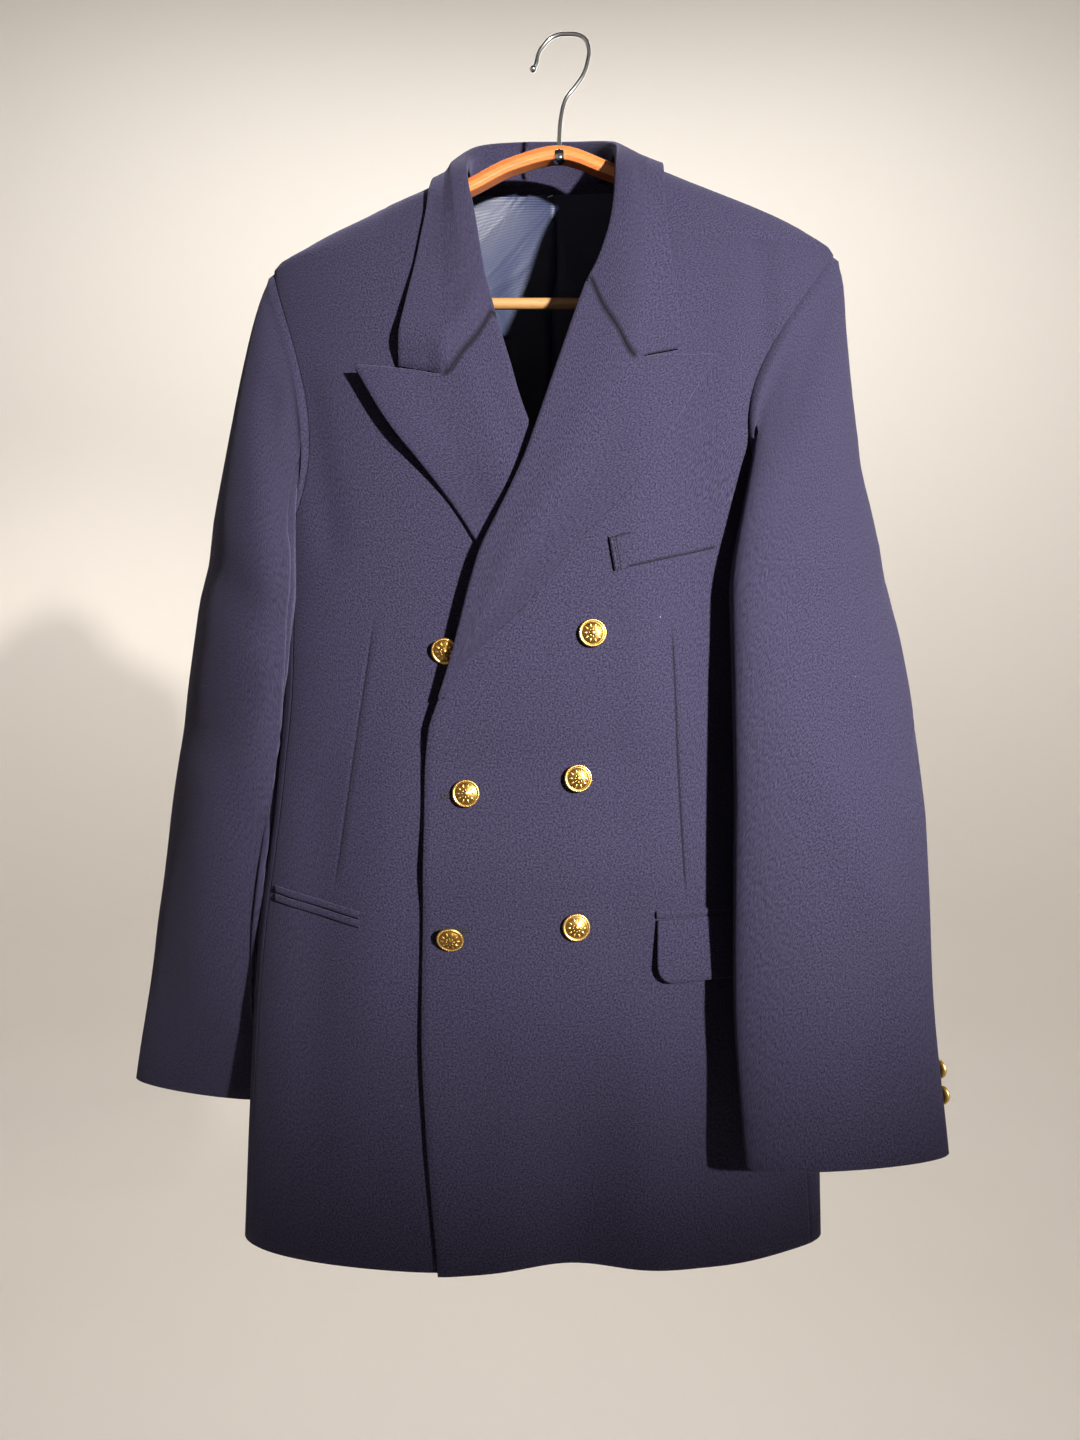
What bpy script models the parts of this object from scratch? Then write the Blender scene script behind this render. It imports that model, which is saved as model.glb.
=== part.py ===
"""Double-breasted blazer on a wooden hanger, hung by its hook. Metres, +Z up, front towards -Y.

The origin is the point of the hook that rests on whatever holds it. Right and left are the wearer's.
Every piece of cloth is a grid of points on one body form or on a sleeve, given its thickness inwards.
"""
from math import pi, radians

import bmesh
import bpy
import numpy as np
from mathutils import Matrix

# Driving sizes
CLOTH = 0.0018  # worsted with its fusing
TURNED = 0.0022  # lapel and collar, two layers and canvas
SILK = 0.0010  # lining
GAP = 0.0003  # air between two pieces at a seam
NECK, SHOULDER, UNDERARM, HEM = -0.1125, -0.1845, -0.415, -0.955  # heights on the body form
TILT = 0.029  # the hanger leans: rise per metre towards +X
CENTRE_X = -0.008
CENTRE_BACK = 2.0  # place round the body of the centre back seam
NECK_INSET = 0.008  # the neck seam lies this far outside the fold of the collar
ROLL_INSET = 0.003  # and the front stops this far inside the rolled edge of the lapel
BACK_RISE = 0.018  # the back neck stands higher than the shoulder seam
VALLEY = 0.024  # depth of the soft fold down the lower front
BUTTON, CUFF_BUTTON = 0.010, 0.0075  # radii
WIRE = 0.00175  # radius of the hook wire
FRONT_HOLE = {-1: 0.36, 1: 0.53}  # how far each armhole cuts into the front
BACK_HOLE = 0.36
SEAM_TURN = radians(140)  # where the side panel starts on the armhole
HOLE_STEPS, SIDE_STEPS = 8, 6  # steps along the armhole of a front or back, and of a side panel
DOWN_STEPS = 13  # steps from the armhole to the hem
CLEAR = 0.0040  # a sleeve keeps this far off the body form
HEM_SIDE = {-1: 0.86, 1: 0.78}  # place of the front side seam at the hem
HEM_BACK = 1.34

# Body rings: height, left x, right x, front y, back y, squareness
BODY = (
    (-0.1125, -0.0885, 0.0750, -0.030, 0.050, 2.1),
    (-0.1280, -0.1164, 0.1080, -0.038, 0.057, 2.1),
    (-0.1390, -0.1430, 0.1340, -0.042, 0.062, 2.1),
    (-0.1490, -0.1640, 0.1580, -0.044, 0.065, 2.1),
    (-0.1600, -0.1890, 0.1815, -0.046, 0.067, 2.1),
    (-0.1705, -0.2085, 0.1990, -0.049, 0.069, 2.1),
    (-0.1845, -0.2300, 0.2160, -0.052, 0.071, 2.1),
    (-0.2200, -0.2310, 0.2160, -0.059, 0.075, 2.1),
    (-0.3000, -0.2280, 0.2090, -0.067, 0.080, 2.2),
    (-0.4200, -0.2240, 0.2030, -0.070, 0.080, 2.2),
    (-0.5100, -0.2230, 0.1990, -0.070, 0.074, 2.2),
    (-0.6000, -0.2290, 0.1980, -0.070, 0.072, 2.2),
    (-0.7300, -0.2425, 0.2020, -0.069, 0.077, 2.2),
    (-0.8500, -0.2490, 0.2040, -0.067, 0.082, 2.1),
    (-0.9550, -0.2530, 0.2060, -0.066, 0.084, 2.1),
)

# Inner edge of each front: height, x. It is the roll line, then the front edge down to the hem
EDGE_LEFT = (
    (-0.110, 0.037), (-0.164, 0.036), (-0.200, 0.027), (-0.226, 0.016), (-0.268, 0.002),
    (-0.324, -0.017), (-0.361, -0.030), (-0.393, -0.045), (-0.426, -0.0605), (-0.465, -0.0712),
    (-0.495, -0.0794), (-0.530, -0.0922), (-0.556, -0.1008), (-0.689, -0.103), (-0.775, -0.104),
    (-0.849, -0.101), (-0.955, -0.0925),
)
EDGE_RIGHT = (
    (-0.110, -0.071), (-0.167, -0.068), (-0.202, -0.062), (-0.2475, -0.051), (-0.289, -0.039),
    (-0.311, -0.033), (-0.350, -0.018), (-0.420, 0.004), (-0.490, 0.024), (-0.540, 0.033),
    (-0.955, 0.033),
)
# How far the left front stands off the right one: height, lift
OVERLAP = (
    (-0.200, 0.0), (-0.300, 0.0110), (-0.420, 0.0150), (-0.500, 0.0150), (-0.555, 0.0110),
    (-0.578, 0.0066), (-0.612, 0.0056), (-0.657, 0.0085), (-0.688, 0.0052), (-0.715, 0.0050),
    (-0.800, 0.0065), (-0.955, 0.0065),
)
OVERLAP_X = (0.045, 0.110)  # full lift up to the first x, none past the second

LINING = (-0.118, -0.930, 0.0045)  # back lining: top, bottom, depth inside the skin

# Turned lapels: x, height along the gorge and along the outer edge
GORGE_LEFT = ((0.0160, -0.2260), (0.0485, -0.2870), (0.1110, -0.2810))
OUTER_LEFT = (
    (0.1110, -0.2810), (0.0814, -0.3282), (0.0435, -0.3847), (0.0142, -0.4140),
    (-0.0330, -0.4705), (-0.0588, -0.4941), (-0.0780, -0.5170), (-0.0860, -0.5320),
)
ROLL_END_LEFT = -0.531
GORGE_RIGHT = ((-0.0510, -0.2475), (-0.0860, -0.2920), (-0.1525, -0.2820))
OUTER_RIGHT = (
    (-0.1525, -0.2820), (-0.1260, -0.3280), (-0.1020, -0.3600), (-0.0780, -0.3930),
    (-0.0590, -0.4230), (-0.0250, -0.4600), (0.0050, -0.4930), (0.0165, -0.5120),
)
ROLL_END_RIGHT = -0.512

# Collar: fold line, then outer edge of the fall, from the left gorge round the back to the right
FOLD = (
    (0.0160, -0.0640, -0.2260), (0.0270, -0.0610, -0.2000), (0.0360, -0.0520, -0.1640),
    (0.0400, -0.0370, -0.1240), (0.0430, 0.0000, -0.0880), (0.0320, 0.0350, -0.0650),
    (0.0080, 0.0550, -0.0540), (-0.0180, 0.0600, -0.0510), (-0.0450, 0.0530, -0.0560),
    (-0.0660, 0.0330, -0.0700), (-0.0760, 0.0000, -0.0960), (-0.0740, -0.0370, -0.1310),
    (-0.0670, -0.0520, -0.1680), (-0.0590, -0.0610, -0.2120), (-0.0510, -0.0650, -0.2475),
)
FALL = (
    (0.0840, -0.2770), (0.0830, -0.2460), (0.0795, -0.2110), (0.0760, -0.1720),
)
FALL_BACK = (
    (0.0745, -0.0160, -0.1200), (0.0710, 0.0300, -0.1080), (0.0400, 0.0700, -0.1080),
    (-0.0080, 0.0800, -0.1080), (-0.0560, 0.0720, -0.1100), (-0.0880, 0.0320, -0.1130),
    (-0.0990, -0.0160, -0.1280),
)
FALL_RIGHT = (
    (-0.1050, -0.1700), (-0.1110, -0.2080), (-0.1180, -0.2500), (-0.1220, -0.2830),
)
# Height of the collar's stand at each share of the way round
STAND = (
    (0.00, 0.003), (0.22, 0.007), (0.29, 0.005), (0.34, 0.014), (0.42, 0.030), (0.50, 0.038),
    (0.58, 0.030), (0.66, 0.014), (0.71, 0.005), (0.78, 0.007), (1.00, 0.003),
)

# Sleeve sections: height, centre x, centre y, half width, half thickness, turn in degrees
SLEEVE = {
    1: (
        (-0.457, 0.1930, -0.0345, 0.0880, 0.0300, 55),
        (-0.532, 0.1970, -0.0470, 0.0860, 0.0280, 62),
        (-0.606, 0.1990, -0.0580, 0.0840, 0.0260, 68),
        (-0.745, 0.1975, -0.0700, 0.0800, 0.0220, 76),
        (-0.863, 0.2040, -0.0810, 0.0775, 0.0170, 81),
    ),
    -1: (
        (-0.457, -0.2570, 0.0160, 0.0830, 0.0330, 33),
        (-0.532, -0.2690, 0.0280, 0.0840, 0.0330, 36),
        (-0.606, -0.2795, 0.0410, 0.0840, 0.0330, 41),
        (-0.680, -0.2885, 0.0480, 0.0825, 0.0300, 46),
        (-0.745, -0.2980, 0.0540, 0.0800, 0.0265, 50),
        (-0.863, -0.3045, 0.0610, 0.0750, 0.0170, 70),
    ),
}
SLEEVE_SEAM = {1: 8, -1: 6}  # steps round from the shoulder to the front seam of a sleeve

# Hanger arms: x, height of the middle, half height, half depth
ARMS = (
    (-0.208, -0.219, 0.0090, 0.0060), (-0.200, -0.2020, 0.0110, 0.0065),
    (-0.180, -0.1820, 0.0100, 0.0070), (-0.140, -0.1562, 0.0080, 0.0070),
    (-0.105, -0.1358, 0.0065, 0.0070), (-0.072, -0.1200, 0.0055, 0.0070),
    (-0.040, -0.1040, 0.0055, 0.0070), (-0.003, -0.0950, 0.0058, 0.0070),
    (0.036, -0.1075, 0.0055, 0.0070), (0.072, -0.1220, 0.0055, 0.0070),
    (0.105, -0.1340, 0.0065, 0.0070), (0.140, -0.1498, 0.0080, 0.0070),
    (0.172, -0.1735, 0.0100, 0.0070), (0.190, -0.1980, 0.0110, 0.0065),
    (0.196, -0.2170, 0.0090, 0.0060),
)
TROUSER_BAR = (-0.1896, 0.1810, -0.214, 0.0045)  # from x, to x, height, radius
HOOK = (
    (-0.0028, -0.0885), (-0.0020, -0.0720), (0.0004, -0.0566), (0.0028, -0.0499), (0.0100, -0.0406),
    (0.0164, -0.0310), (0.0196, -0.0218), (0.0212, -0.0126), (0.0196, -0.0046), (0.0140, 0.0005),
    (0.0076, 0.0018), (0.0000, 0.0017), (-0.0084, -0.0010), (-0.0148, -0.0070),
    (-0.0196, -0.0150), (-0.0210, -0.0218), (-0.0236, -0.0262),
)  # x, height of the wire

# Buttons: name, x, height, which front it lies on, how far its back stands off
BUTTONS = (
    ("button_left_upper", 0.0190, -0.4850, 1, 0.0006),
    ("button_left_middle", 0.0090, -0.5890, 1, 0.0019),
    ("button_left_lower", 0.0080, -0.6970, 1, 0.0006),
    ("button_right_upper", -0.0870, -0.4955, 0, 0.0006),
    ("button_right_middle", -0.0710, -0.6000, 1, 0.0012),
    ("button_right_lower", -0.0820, -0.7045, 1, 0.0006),
)
DOME = ((0.00, 0.00), (0.62, 0.00), (0.98, 0.16), (1.00, 0.26), (0.84, 0.36), (0.50, 0.48),
        (0.00, 0.54))  # button profile in radii: out, up
CUFF_TURN = {1: 262, -1: 232}  # degrees round each sleeve
CUFF_SINK = {1: 0.0004, -1: 0.0}  # how far the back of a cuff button lies inside the rounded section
CUFF_ROWS = (-0.8060, -0.8240)

NAVY = (0.022, 0.024, 0.048, 1)
SLATE = (0.10, 0.13, 0.22, 1)
BRASS = (0.72, 0.45, 0.14, 1)
WOOD = (0.62, 0.25, 0.09, 1)
PALE_WOOD = (0.78, 0.42, 0.16, 1)
CHROME = (0.75, 0.76, 0.78, 1)


def smooth(rows, col, x):
    """Read one column of a short table at x, smoothly and without overshoot."""
    rows = sorted(rows)
    at = np.array([r[0] for r in rows], float)
    val = np.array([r[col] for r in rows], float)
    d = np.diff(val) / np.diff(at)
    m = np.concatenate(([d[0]], np.zeros(len(d) - 1), [d[-1]]))
    same = d[:-1] * d[1:] > 0
    total = np.where(same, d[:-1] + d[1:], 1.0)
    m[1:-1] = np.where(same, 2 * d[:-1] * d[1:] / total, 0.0)
    x = np.clip(x, at[0], at[-1])
    k = np.clip(np.searchsorted(at, x) - 1, 0, len(d) - 1)
    w = at[k + 1] - at[k]
    t = (x - at[k]) / w
    low = (1 + 2 * t) * (1 - t) ** 2 * val[k] + t * (1 - t) ** 2 * w * m[k]
    high = t * t * (3 - 2 * t) * val[k + 1] + t * t * (t - 1) * w * m[k + 1]
    return low + high


def along(points, t):
    """Points at shares t of the way along a line given by a few points."""
    pts = np.array(points, float)
    step = np.linalg.norm(np.diff(pts, axis=0), axis=1)
    at = np.concatenate(([0.0], np.cumsum(step))) / step.sum()
    rows = [(a, *p) for a, p in zip(at, pts)]
    return np.stack([smooth(rows, c + 1, t) for c in range(pts.shape[1])], axis=-1)


def ease(x, low, high):
    """0 at low, 1 at high, level at both ends."""
    t = np.clip((x - low) / (high - low), 0.0, 1.0)
    return t * t * (3 - 2 * t)


def unit(v):
    return v / np.maximum(np.linalg.norm(v, axis=-1, keepdims=True), 1e-12)


def skin(q, h):
    """The body form. q: 0 centre front, 1 side, 2 centre back, below zero on the wearer's right."""
    q, h = np.broadcast_arrays(np.asarray(q, float), np.asarray(h, float))
    left, right, front, back, power = [smooth(BODY, c, h) for c in range(1, 6)]
    s, c = np.sin(q * pi / 2), np.cos(q * pi / 2)
    x = (left + right) / 2 + (right - left) / 2 * np.sign(s) * np.abs(s) ** (2 / power)
    round_off = np.abs(c) ** (2 / power)
    y = np.where(c > 0, front, back) * round_off
    dip = VALLEY * np.exp(-((x - 0.006) / 0.055) ** 2) * ease(h, -0.74, HEM)
    dip = dip + 0.010 * np.exp(-((x - 0.190) / 0.040) ** 2) * ease(h, -0.50, -0.80)
    y = y + np.where(c > 0, dip * round_off, 0.0)
    z = h + TILT * (x - CENTRE_X) * ease(h, -0.60, -0.25)
    z = z + np.where(c < 0, BACK_RISE * round_off * ease(h, -0.17, NECK), 0.0)
    return np.stack([x, y, z], axis=-1)


def normal(q, h):
    """The way out of the body form."""
    e = 1e-4
    return unit(np.cross(skin(q + e, h) - skin(q - e, h), skin(q, h + e) - skin(q, h - e)))


def body(q, h, lift=0.0):
    """A point of the body form moved out by lift."""
    q, h = np.broadcast_arrays(np.asarray(q, float), np.asarray(h, float))
    lift = np.broadcast_to(lift, q.shape)
    return skin(q, h) + normal(q, h) * lift[..., None]


def place(x, h):
    """Where round the front an x lies."""
    left, right, power = [smooth(BODY, c, h) for c in (1, 2, 5)]
    s = np.clip((x - (left + right) / 2) / ((right - left) / 2), -1, 1)
    return np.sign(s) * np.arcsin(np.abs(s) ** (power / 2)) / (pi / 2)


def stand_off(x, h):
    """Lift of the left front where it lies over the right one."""
    return smooth(OVERLAP, 1, h) * (1 - ease(x, *OVERLAP_X))


def on_front(x, h, lift, over):
    """A point on the left front (over is 1) or the right front (0), moved out by lift."""
    x, h = np.broadcast_arrays(np.asarray(x, float), np.asarray(h, float))
    return body(place(x, h), h, lift + over * stand_off(x, h))


def armhole(turn, side):
    """Place and height on the body form, turn 0 at the shoulder, pi/2 in front, pi underarm."""
    deep = np.where(np.sin(turn) >= 0, -FRONT_HOLE[side], BACK_HOLE)
    h = SHOULDER + (UNDERARM - SHOULDER) * (1 - np.cos(turn)) / 2
    return side * (1 + deep * np.abs(np.sin(turn)) * (1 - 0.25 * np.cos(turn))), h


def outer_edge(h, side, back):
    """Place of the shoulder seam, armhole or side seam of a front or back at height h."""
    share = np.clip((SHOULDER - h) / (SHOULDER - UNDERARM), 0, 1)
    turn = np.arccos(1 - 2 * share)
    q_hole = armhole(-turn if back else turn, side)[0]
    q_seam, h_seam = armhole(-SEAM_TURN if back else SEAM_TURN, side)
    q_hem = side * (HEM_BACK if back else HEM_SIDE[side])
    q_side = q_seam + (q_hem - q_seam) * np.clip((h_seam - h) / (h_seam - HEM), 0, 1)
    return np.where(h > SHOULDER, side, np.where(h >= h_seam, q_hole, q_side))


def panel_heights(top):
    """Rows of a front or back, with rows on the shoulder point and on the end of the armhole."""
    over = np.linspace(top, SHOULDER, 5)
    hole = armhole(np.linspace(0, SEAM_TURN, HOLE_STEPS + 1), 1)[1]
    down = np.linspace(hole[-1], HEM, DOWN_STEPS + 1)
    return np.concatenate([over, hole[1:], down[1:]])


def front_panel(side, depth=0.0, count=13):
    edge = EDGE_LEFT if side > 0 else EDGE_RIGHT
    gorge = GORGE_LEFT[0][1] if side > 0 else GORGE_RIGHT[0][1]
    end = ROLL_END_LEFT if side > 0 else ROLL_END_RIGHT
    h = panel_heights(NECK)
    inset = (NECK_INSET - ROLL_INSET) * ease(h, gorge, gorge + 0.03)
    inset = inset + ROLL_INSET * ease(h, end - 0.055, end - 0.010)
    x = smooth(edge, 1, h) + side * inset
    inner, outer = place(x, h), outer_edge(h, side, False)
    t = np.linspace(0, 1, count)
    q = inner[:, None] * (1 - t) + outer[:, None] * t
    hh = np.repeat(h[:, None], count, axis=1)
    lift = stand_off(skin(q, hh)[..., 0], hh) if side > 0 else 0.0
    return body(q, hh, lift - depth)


def back_panel(side, depth=0.0, count=9):
    h = panel_heights(NECK)
    t = np.linspace(0, 1, count)
    q = side * CENTRE_BACK * (1 - t) + outer_edge(h, side, True)[:, None] * t
    return body(q, np.repeat(h[:, None], count, axis=1), -depth)


def lining_panel(side, depth=0.0, count=7, reach=0.93):
    h = np.linspace(LINING[0], LINING[1], 17)
    outer = outer_edge(h, side, True)
    outer = side * CENTRE_BACK + (outer - side * CENTRE_BACK) * reach
    t = np.linspace(0, 1, count)
    q = side * CENTRE_BACK * (1 - t) + outer[:, None] * t
    start = CLOTH + 0.0010
    inset = start + (LINING[2] - start) * ease(LINING[0] - h, 0.0, 0.03)[:, None]
    return body(q, np.repeat(h[:, None], count, axis=1), -inset - depth)


def side_panel(side, depth=0.0):
    turn = np.linspace(SEAM_TURN, 2 * pi - SEAM_TURN, SIDE_STEPS + 1)
    q_top, h_top = armhole(turn, side)
    u = np.linspace(0, 1, SIDE_STEPS + 1)
    q_hem = side * (HEM_SIDE[side] + (HEM_BACK - HEM_SIDE[side]) * u)
    v = np.linspace(0, 1, DOWN_STEPS + 1)[:, None]
    return body(q_top * (1 - v) + q_hem * v, h_top * (1 - v) + HEM * v, -depth)


def sleeve_section(turn, z, side):
    """Points round a sleeve at height z, turn 0 on its outer face, pi/2 on its front edge."""
    cx, cy, wide, thick, yaw = [smooth(SLEEVE[side], c, z) for c in range(1, 6)]
    yaw = np.radians(yaw)
    front, out = wide * np.sin(turn), thick * np.cos(turn)
    x = cx + side * (out * np.cos(yaw) - front * np.sin(yaw))
    y = cy - out * np.sin(yaw) - front * np.cos(yaw)
    return np.stack(np.broadcast_arrays(x, y, z), axis=-1)


def off_body(p):
    """Rough distance of points outside the body form, below zero inside it."""
    z = p[..., 2] - TILT * (p[..., 0] - CENTRE_X) * ease(p[..., 2], -0.60, -0.25)
    h = z - BACK_RISE * ease(z, -0.17, NECK) * np.clip(p[..., 1] / 0.05, 0, 1)
    left, right, front, back, power = [smooth(BODY, c, h) for c in range(1, 6)]
    dx = np.abs(p[..., 0] - (left + right) / 2) / ((right - left) / 2)
    dy = np.abs(p[..., 1]) / np.where(p[..., 1] < 0, -front, back)
    return (dx ** power + dy ** power) ** (1 / power) - 1 + 25 * np.clip(h - NECK, 0, None)


def clear_of_body(p, margin):
    """Move points that lie too near the body form out to a margin from it."""
    e = 1e-4
    for _ in range(4):
        here = off_body(p)
        axes = [np.eye(3)[k] * e for k in range(3)]
        slope = np.stack([(off_body(p + a) - off_body(p - a)) / (2 * e) for a in axes], axis=-1)
        steep = np.maximum(np.linalg.norm(slope, axis=-1), 3.0)
        short = np.clip(margin - here / steep, 0, None)
        p = p + unit(slope) * short[..., None]
    return p


def turns_round():
    """Turns round an armhole that meet the rows of the fronts, backs and side panels."""
    hole = np.linspace(0, SEAM_TURN, HOLE_STEPS + 1)
    under = np.linspace(SEAM_TURN, 2 * pi - SEAM_TURN, SIDE_STEPS + 1)
    return np.concatenate([hole, under[1:-1], 2 * pi - hole[::-1]])


def sleeve_tube(side, turns, head=8, down=11):
    """Grid of outer points: from the armhole over the sleeve head, then down to the cuff."""
    q, h = armhole(turns, side)
    start = body(q, h)
    top = SLEEVE[side][0][0]
    first = sleeve_section(turns, top, side)
    below = sleeve_section(turns, top - 0.03, side)
    under = (1 - np.cos(turns))[:, None] / 2
    reach = np.linalg.norm(first - start, axis=-1, keepdims=True)
    leave = unit(np.stack([side * np.ones_like(turns), -0.25 * np.sin(turns),
                           -0.9 + 0.6 * under[:, 0]], axis=-1)) * (0.085 - 0.055 * under)
    arrive = unit(below - first) * reach * (1.0 - 0.2 * under)
    rows = []
    for t in np.linspace(0, 1, head):
        p = (1 + 2 * t) * (1 - t) ** 2 * start + t * (1 - t) ** 2 * leave
        p = p + t * t * (3 - 2 * t) * first + t * t * (t - 1) * arrive
        rows.append(p if t == 0 else clear_of_body(p, CLEAR))
    for z in np.linspace(top, SLEEVE[side][-1][0], down)[1:]:
        rows.append(clear_of_body(sleeve_section(turns, z, side), CLEAR))
    return np.stack(rows)


def sleeve(side, first, last):
    """Outer and inner grids of the part of a sleeve between two steps round it."""
    turns = turns_round()
    grid = sleeve_tube(side, turns)
    around = (np.roll(grid[:, :-1], -1, axis=1) - np.roll(grid[:, :-1], 1, axis=1)) * side
    around = np.concatenate([around, around[:, :1]], axis=1)
    out = unit(np.cross(around, np.gradient(grid, axis=0)))
    away = ease(np.minimum(turns, 2 * pi - turns), 1.0, 2.2)[:, None]
    out[0] = unit(normal(*armhole(turns, side)) * (1 - away) + out[0] * away)
    steps = np.arange(first, last + 1) % (len(turns) - 1)
    return grid[:, steps], grid[:, steps] - out[:, steps] * CLOTH


def lapel(side, rows=15, cols=7):
    """Turned lapel: a rolled edge on the roll line, then the face lying on the front."""
    edge = EDGE_LEFT if side > 0 else EDGE_RIGHT
    gorge, outer = (GORGE_LEFT, OUTER_LEFT) if side > 0 else (GORGE_RIGHT, OUTER_RIGHT)
    end = ROLL_END_LEFT if side > 0 else ROLL_END_RIGHT
    v = np.linspace(0, 1, rows)
    t = np.linspace(0, 1, cols)
    h_roll = gorge[0][1] + (end - gorge[0][1]) * v
    roll = np.stack([smooth(edge, 1, h_roll), h_roll], axis=-1)
    rim = along(outer, v)
    top = along_corner(gorge, t)
    inner = roll + np.array([side * 0.0036, 0.0])
    flat = inner[:, None] * (1 - t)[:, None] + rim[:, None] * t[:, None]
    bend = top - (np.outer(1 - t, inner[0]) + np.outer(t, rim[0]))
    bend[0] = 0.0
    flat = flat + bend[None] * ((1 - v) ** 3)[:, None, None]
    wide = np.clip(np.linalg.norm(rim - roll, axis=1) / 0.06, 0, 1)
    lift = TURNED + 0.0018 + np.outer(wide, 0.0030 * np.sin(pi * np.clip(t * 1.25, 0, 1)) ** 2)
    face = on_front(flat[..., 0], flat[..., 1], lift, max(side, 0))
    curl = []
    for shift, up in ((0.0000, -0.0012), (-0.0010, 0.0010), (0.0006, 0.0032)):
        x = roll[:, 0] + side * shift
        curl.append(on_front(x, roll[:, 1], up * np.ones(rows), max(side, 0)))
    face[:, 0] = on_front(roll[:, 0] + side * 0.0036, roll[:, 1], 0.0040, max(side, 0))
    return np.concatenate([np.stack(curl, axis=1), face], axis=1)


def along_corner(points, t):
    """Shares t of the way along a line of two straight runs, its corner at the middle share."""
    pts = np.array(points, float)
    first = pts[0] + (pts[1] - pts[0]) * np.clip(t * 2, 0, 1)[:, None]
    return first + (pts[2] - pts[1]) * np.clip(t * 2 - 1, 0, 1)[:, None]


def collar(rows=31, cols=7):
    """One collar from notch to notch: stand inside the neck, fold, fall outside."""
    u = np.linspace(0, 1, rows)
    fold = along(FOLD, u)
    line = [on_front(x, h, 0.004, 1) for x, h in FALL]
    line += [np.array(p) for p in FALL_BACK]
    line += [on_front(x, h, 0.004, 0) for x, h in FALL_RIGHT]
    rim = along(line, u)
    out = fold - np.array([CENTRE_X - 0.010, 0.010, 0.0])
    out[:, 2] = 0
    out = unit(out)
    drop = smooth(STAND, 1, u)[:, None]
    down = unit(np.cross(np.gradient(fold, axis=0), out))
    columns = [fold + out * shift + down * (drop * share + 0.0008)
               for share, shift in ((1.0, -0.0026), (0.55, -0.0030), (0.10, -0.0022))]
    columns.append(fold + out * 0.0020 - down * 0.0016)
    for k in np.linspace(0, 1, cols)[1:]:
        bulge = 0.0090 * (1 - k) + 0.0080 * np.sin(pi * k) * ease(np.minimum(u, 1 - u), 0.22, 0.42)
        columns.append(fold * (1 - k) + rim * k + out * bulge[:, None])
    grid = np.stack(columns, axis=1)
    t = np.linspace(0, 1, cols)
    for row, side, points, corner in ((0, 1, GORGE_LEFT, FALL[0]), (rows - 1, -1, GORGE_RIGHT,
                                                                  FALL_RIGHT[-1])):
        end = lapel(side)[0]
        flat = along_corner((points[0], points[1], corner), t)[cols // 2 + 1:]
        end[4 + cols // 2:] = on_front(flat[:, 0], flat[:, 1], TURNED + 0.0018, max(side, 0))
        shift = end - grid[row]
        for near in range(8):
            grid[row + near * side] += shift * (1 - near / 8) ** 2
    off = 0.0047 + stand_off(grid[..., 0], grid[..., 2]) * (grid[..., 1] < 0)
    cleared = clear_of_body(grid, off)
    grid[1:-1, 4:] = cleared[1:-1, 4:]
    return grid


def strip(x0, x1, top, bottom, lifts, over, cols=9):
    """A strip of cloth on a front: top and bottom are (height at x0, height at x1)."""
    u = np.linspace(0, 1, cols)
    x = x0 + (x1 - x0) * u
    rows = []
    for share, lift in lifts:
        start = top[0] + (bottom[0] - top[0]) * share
        end = top[1] + (bottom[1] - top[1]) * share
        rows.append(on_front(x, start + (end - start) * u, lift * np.ones(cols), over))
    return np.stack(rows)


def flap():
    """Pocket flap hanging out from under the jet, with rounded lower corners."""
    u = np.linspace(0, 1, 13)
    edge = np.minimum(u, 1 - u)
    rows = []
    for k in np.linspace(0, 1, 6):
        x = 0.0680 + 0.1100 * u
        short = 0.0100 * np.clip(1 - edge / 0.09, 0, 1) ** 2
        h = -0.6935 + 0.0050 * u - (0.0450 - short) * k
        lift = 0.0030 + 0.0050 * k
        rows.append(on_front(x, h, lift * np.ones_like(u), 1))
    return np.stack(rows)


def material(name, colour, rough, metal=0.0):
    mat = bpy.data.materials.new(name)
    mat.use_nodes = True
    shader = mat.node_tree.nodes["Principled BSDF"]
    shader.inputs["Base Color"].default_value = colour
    shader.inputs["Roughness"].default_value = rough
    shader.inputs["Metallic"].default_value = metal
    return mat


def add(name, mesh, colour, rough, metal=0.0):
    mesh.materials.append(material(name, colour, rough, metal))
    obj = bpy.data.objects.new(name, mesh)
    bpy.data.collections["double_breasted_blazer"].objects.link(obj)
    return obj


def seam_inset(grid, draw):
    """Draw the four edges of a grid in, within its surface."""
    m, n = grid.shape[:2]
    loop = [(0, j) for j in range(n)] + [(i, n - 1) for i in range(1, m)]
    loop += [(m - 1, j) for j in range(n - 2, -1, -1)] + [(i, 0) for i in range(m - 2, 0, -1)]
    shift = np.zeros_like(grid)
    for here, ahead in zip(loop, loop[1:] + loop[:1]):
        step = np.array(ahead) - here
        inward = np.array([step[1], -step[0]])
        inner = grid[tuple(here + inward)] + grid[tuple(ahead + inward)] - grid[here] - grid[ahead]
        run = unit(grid[ahead] - grid[here])
        across = unit(inner - run * np.dot(inner, run))
        shift[here] += across * draw
        shift[ahead] += across * draw
    return grid + shift


def grid_normals(grid):
    return unit(np.cross(np.gradient(grid, axis=0), np.gradient(grid, axis=1)))


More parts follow.
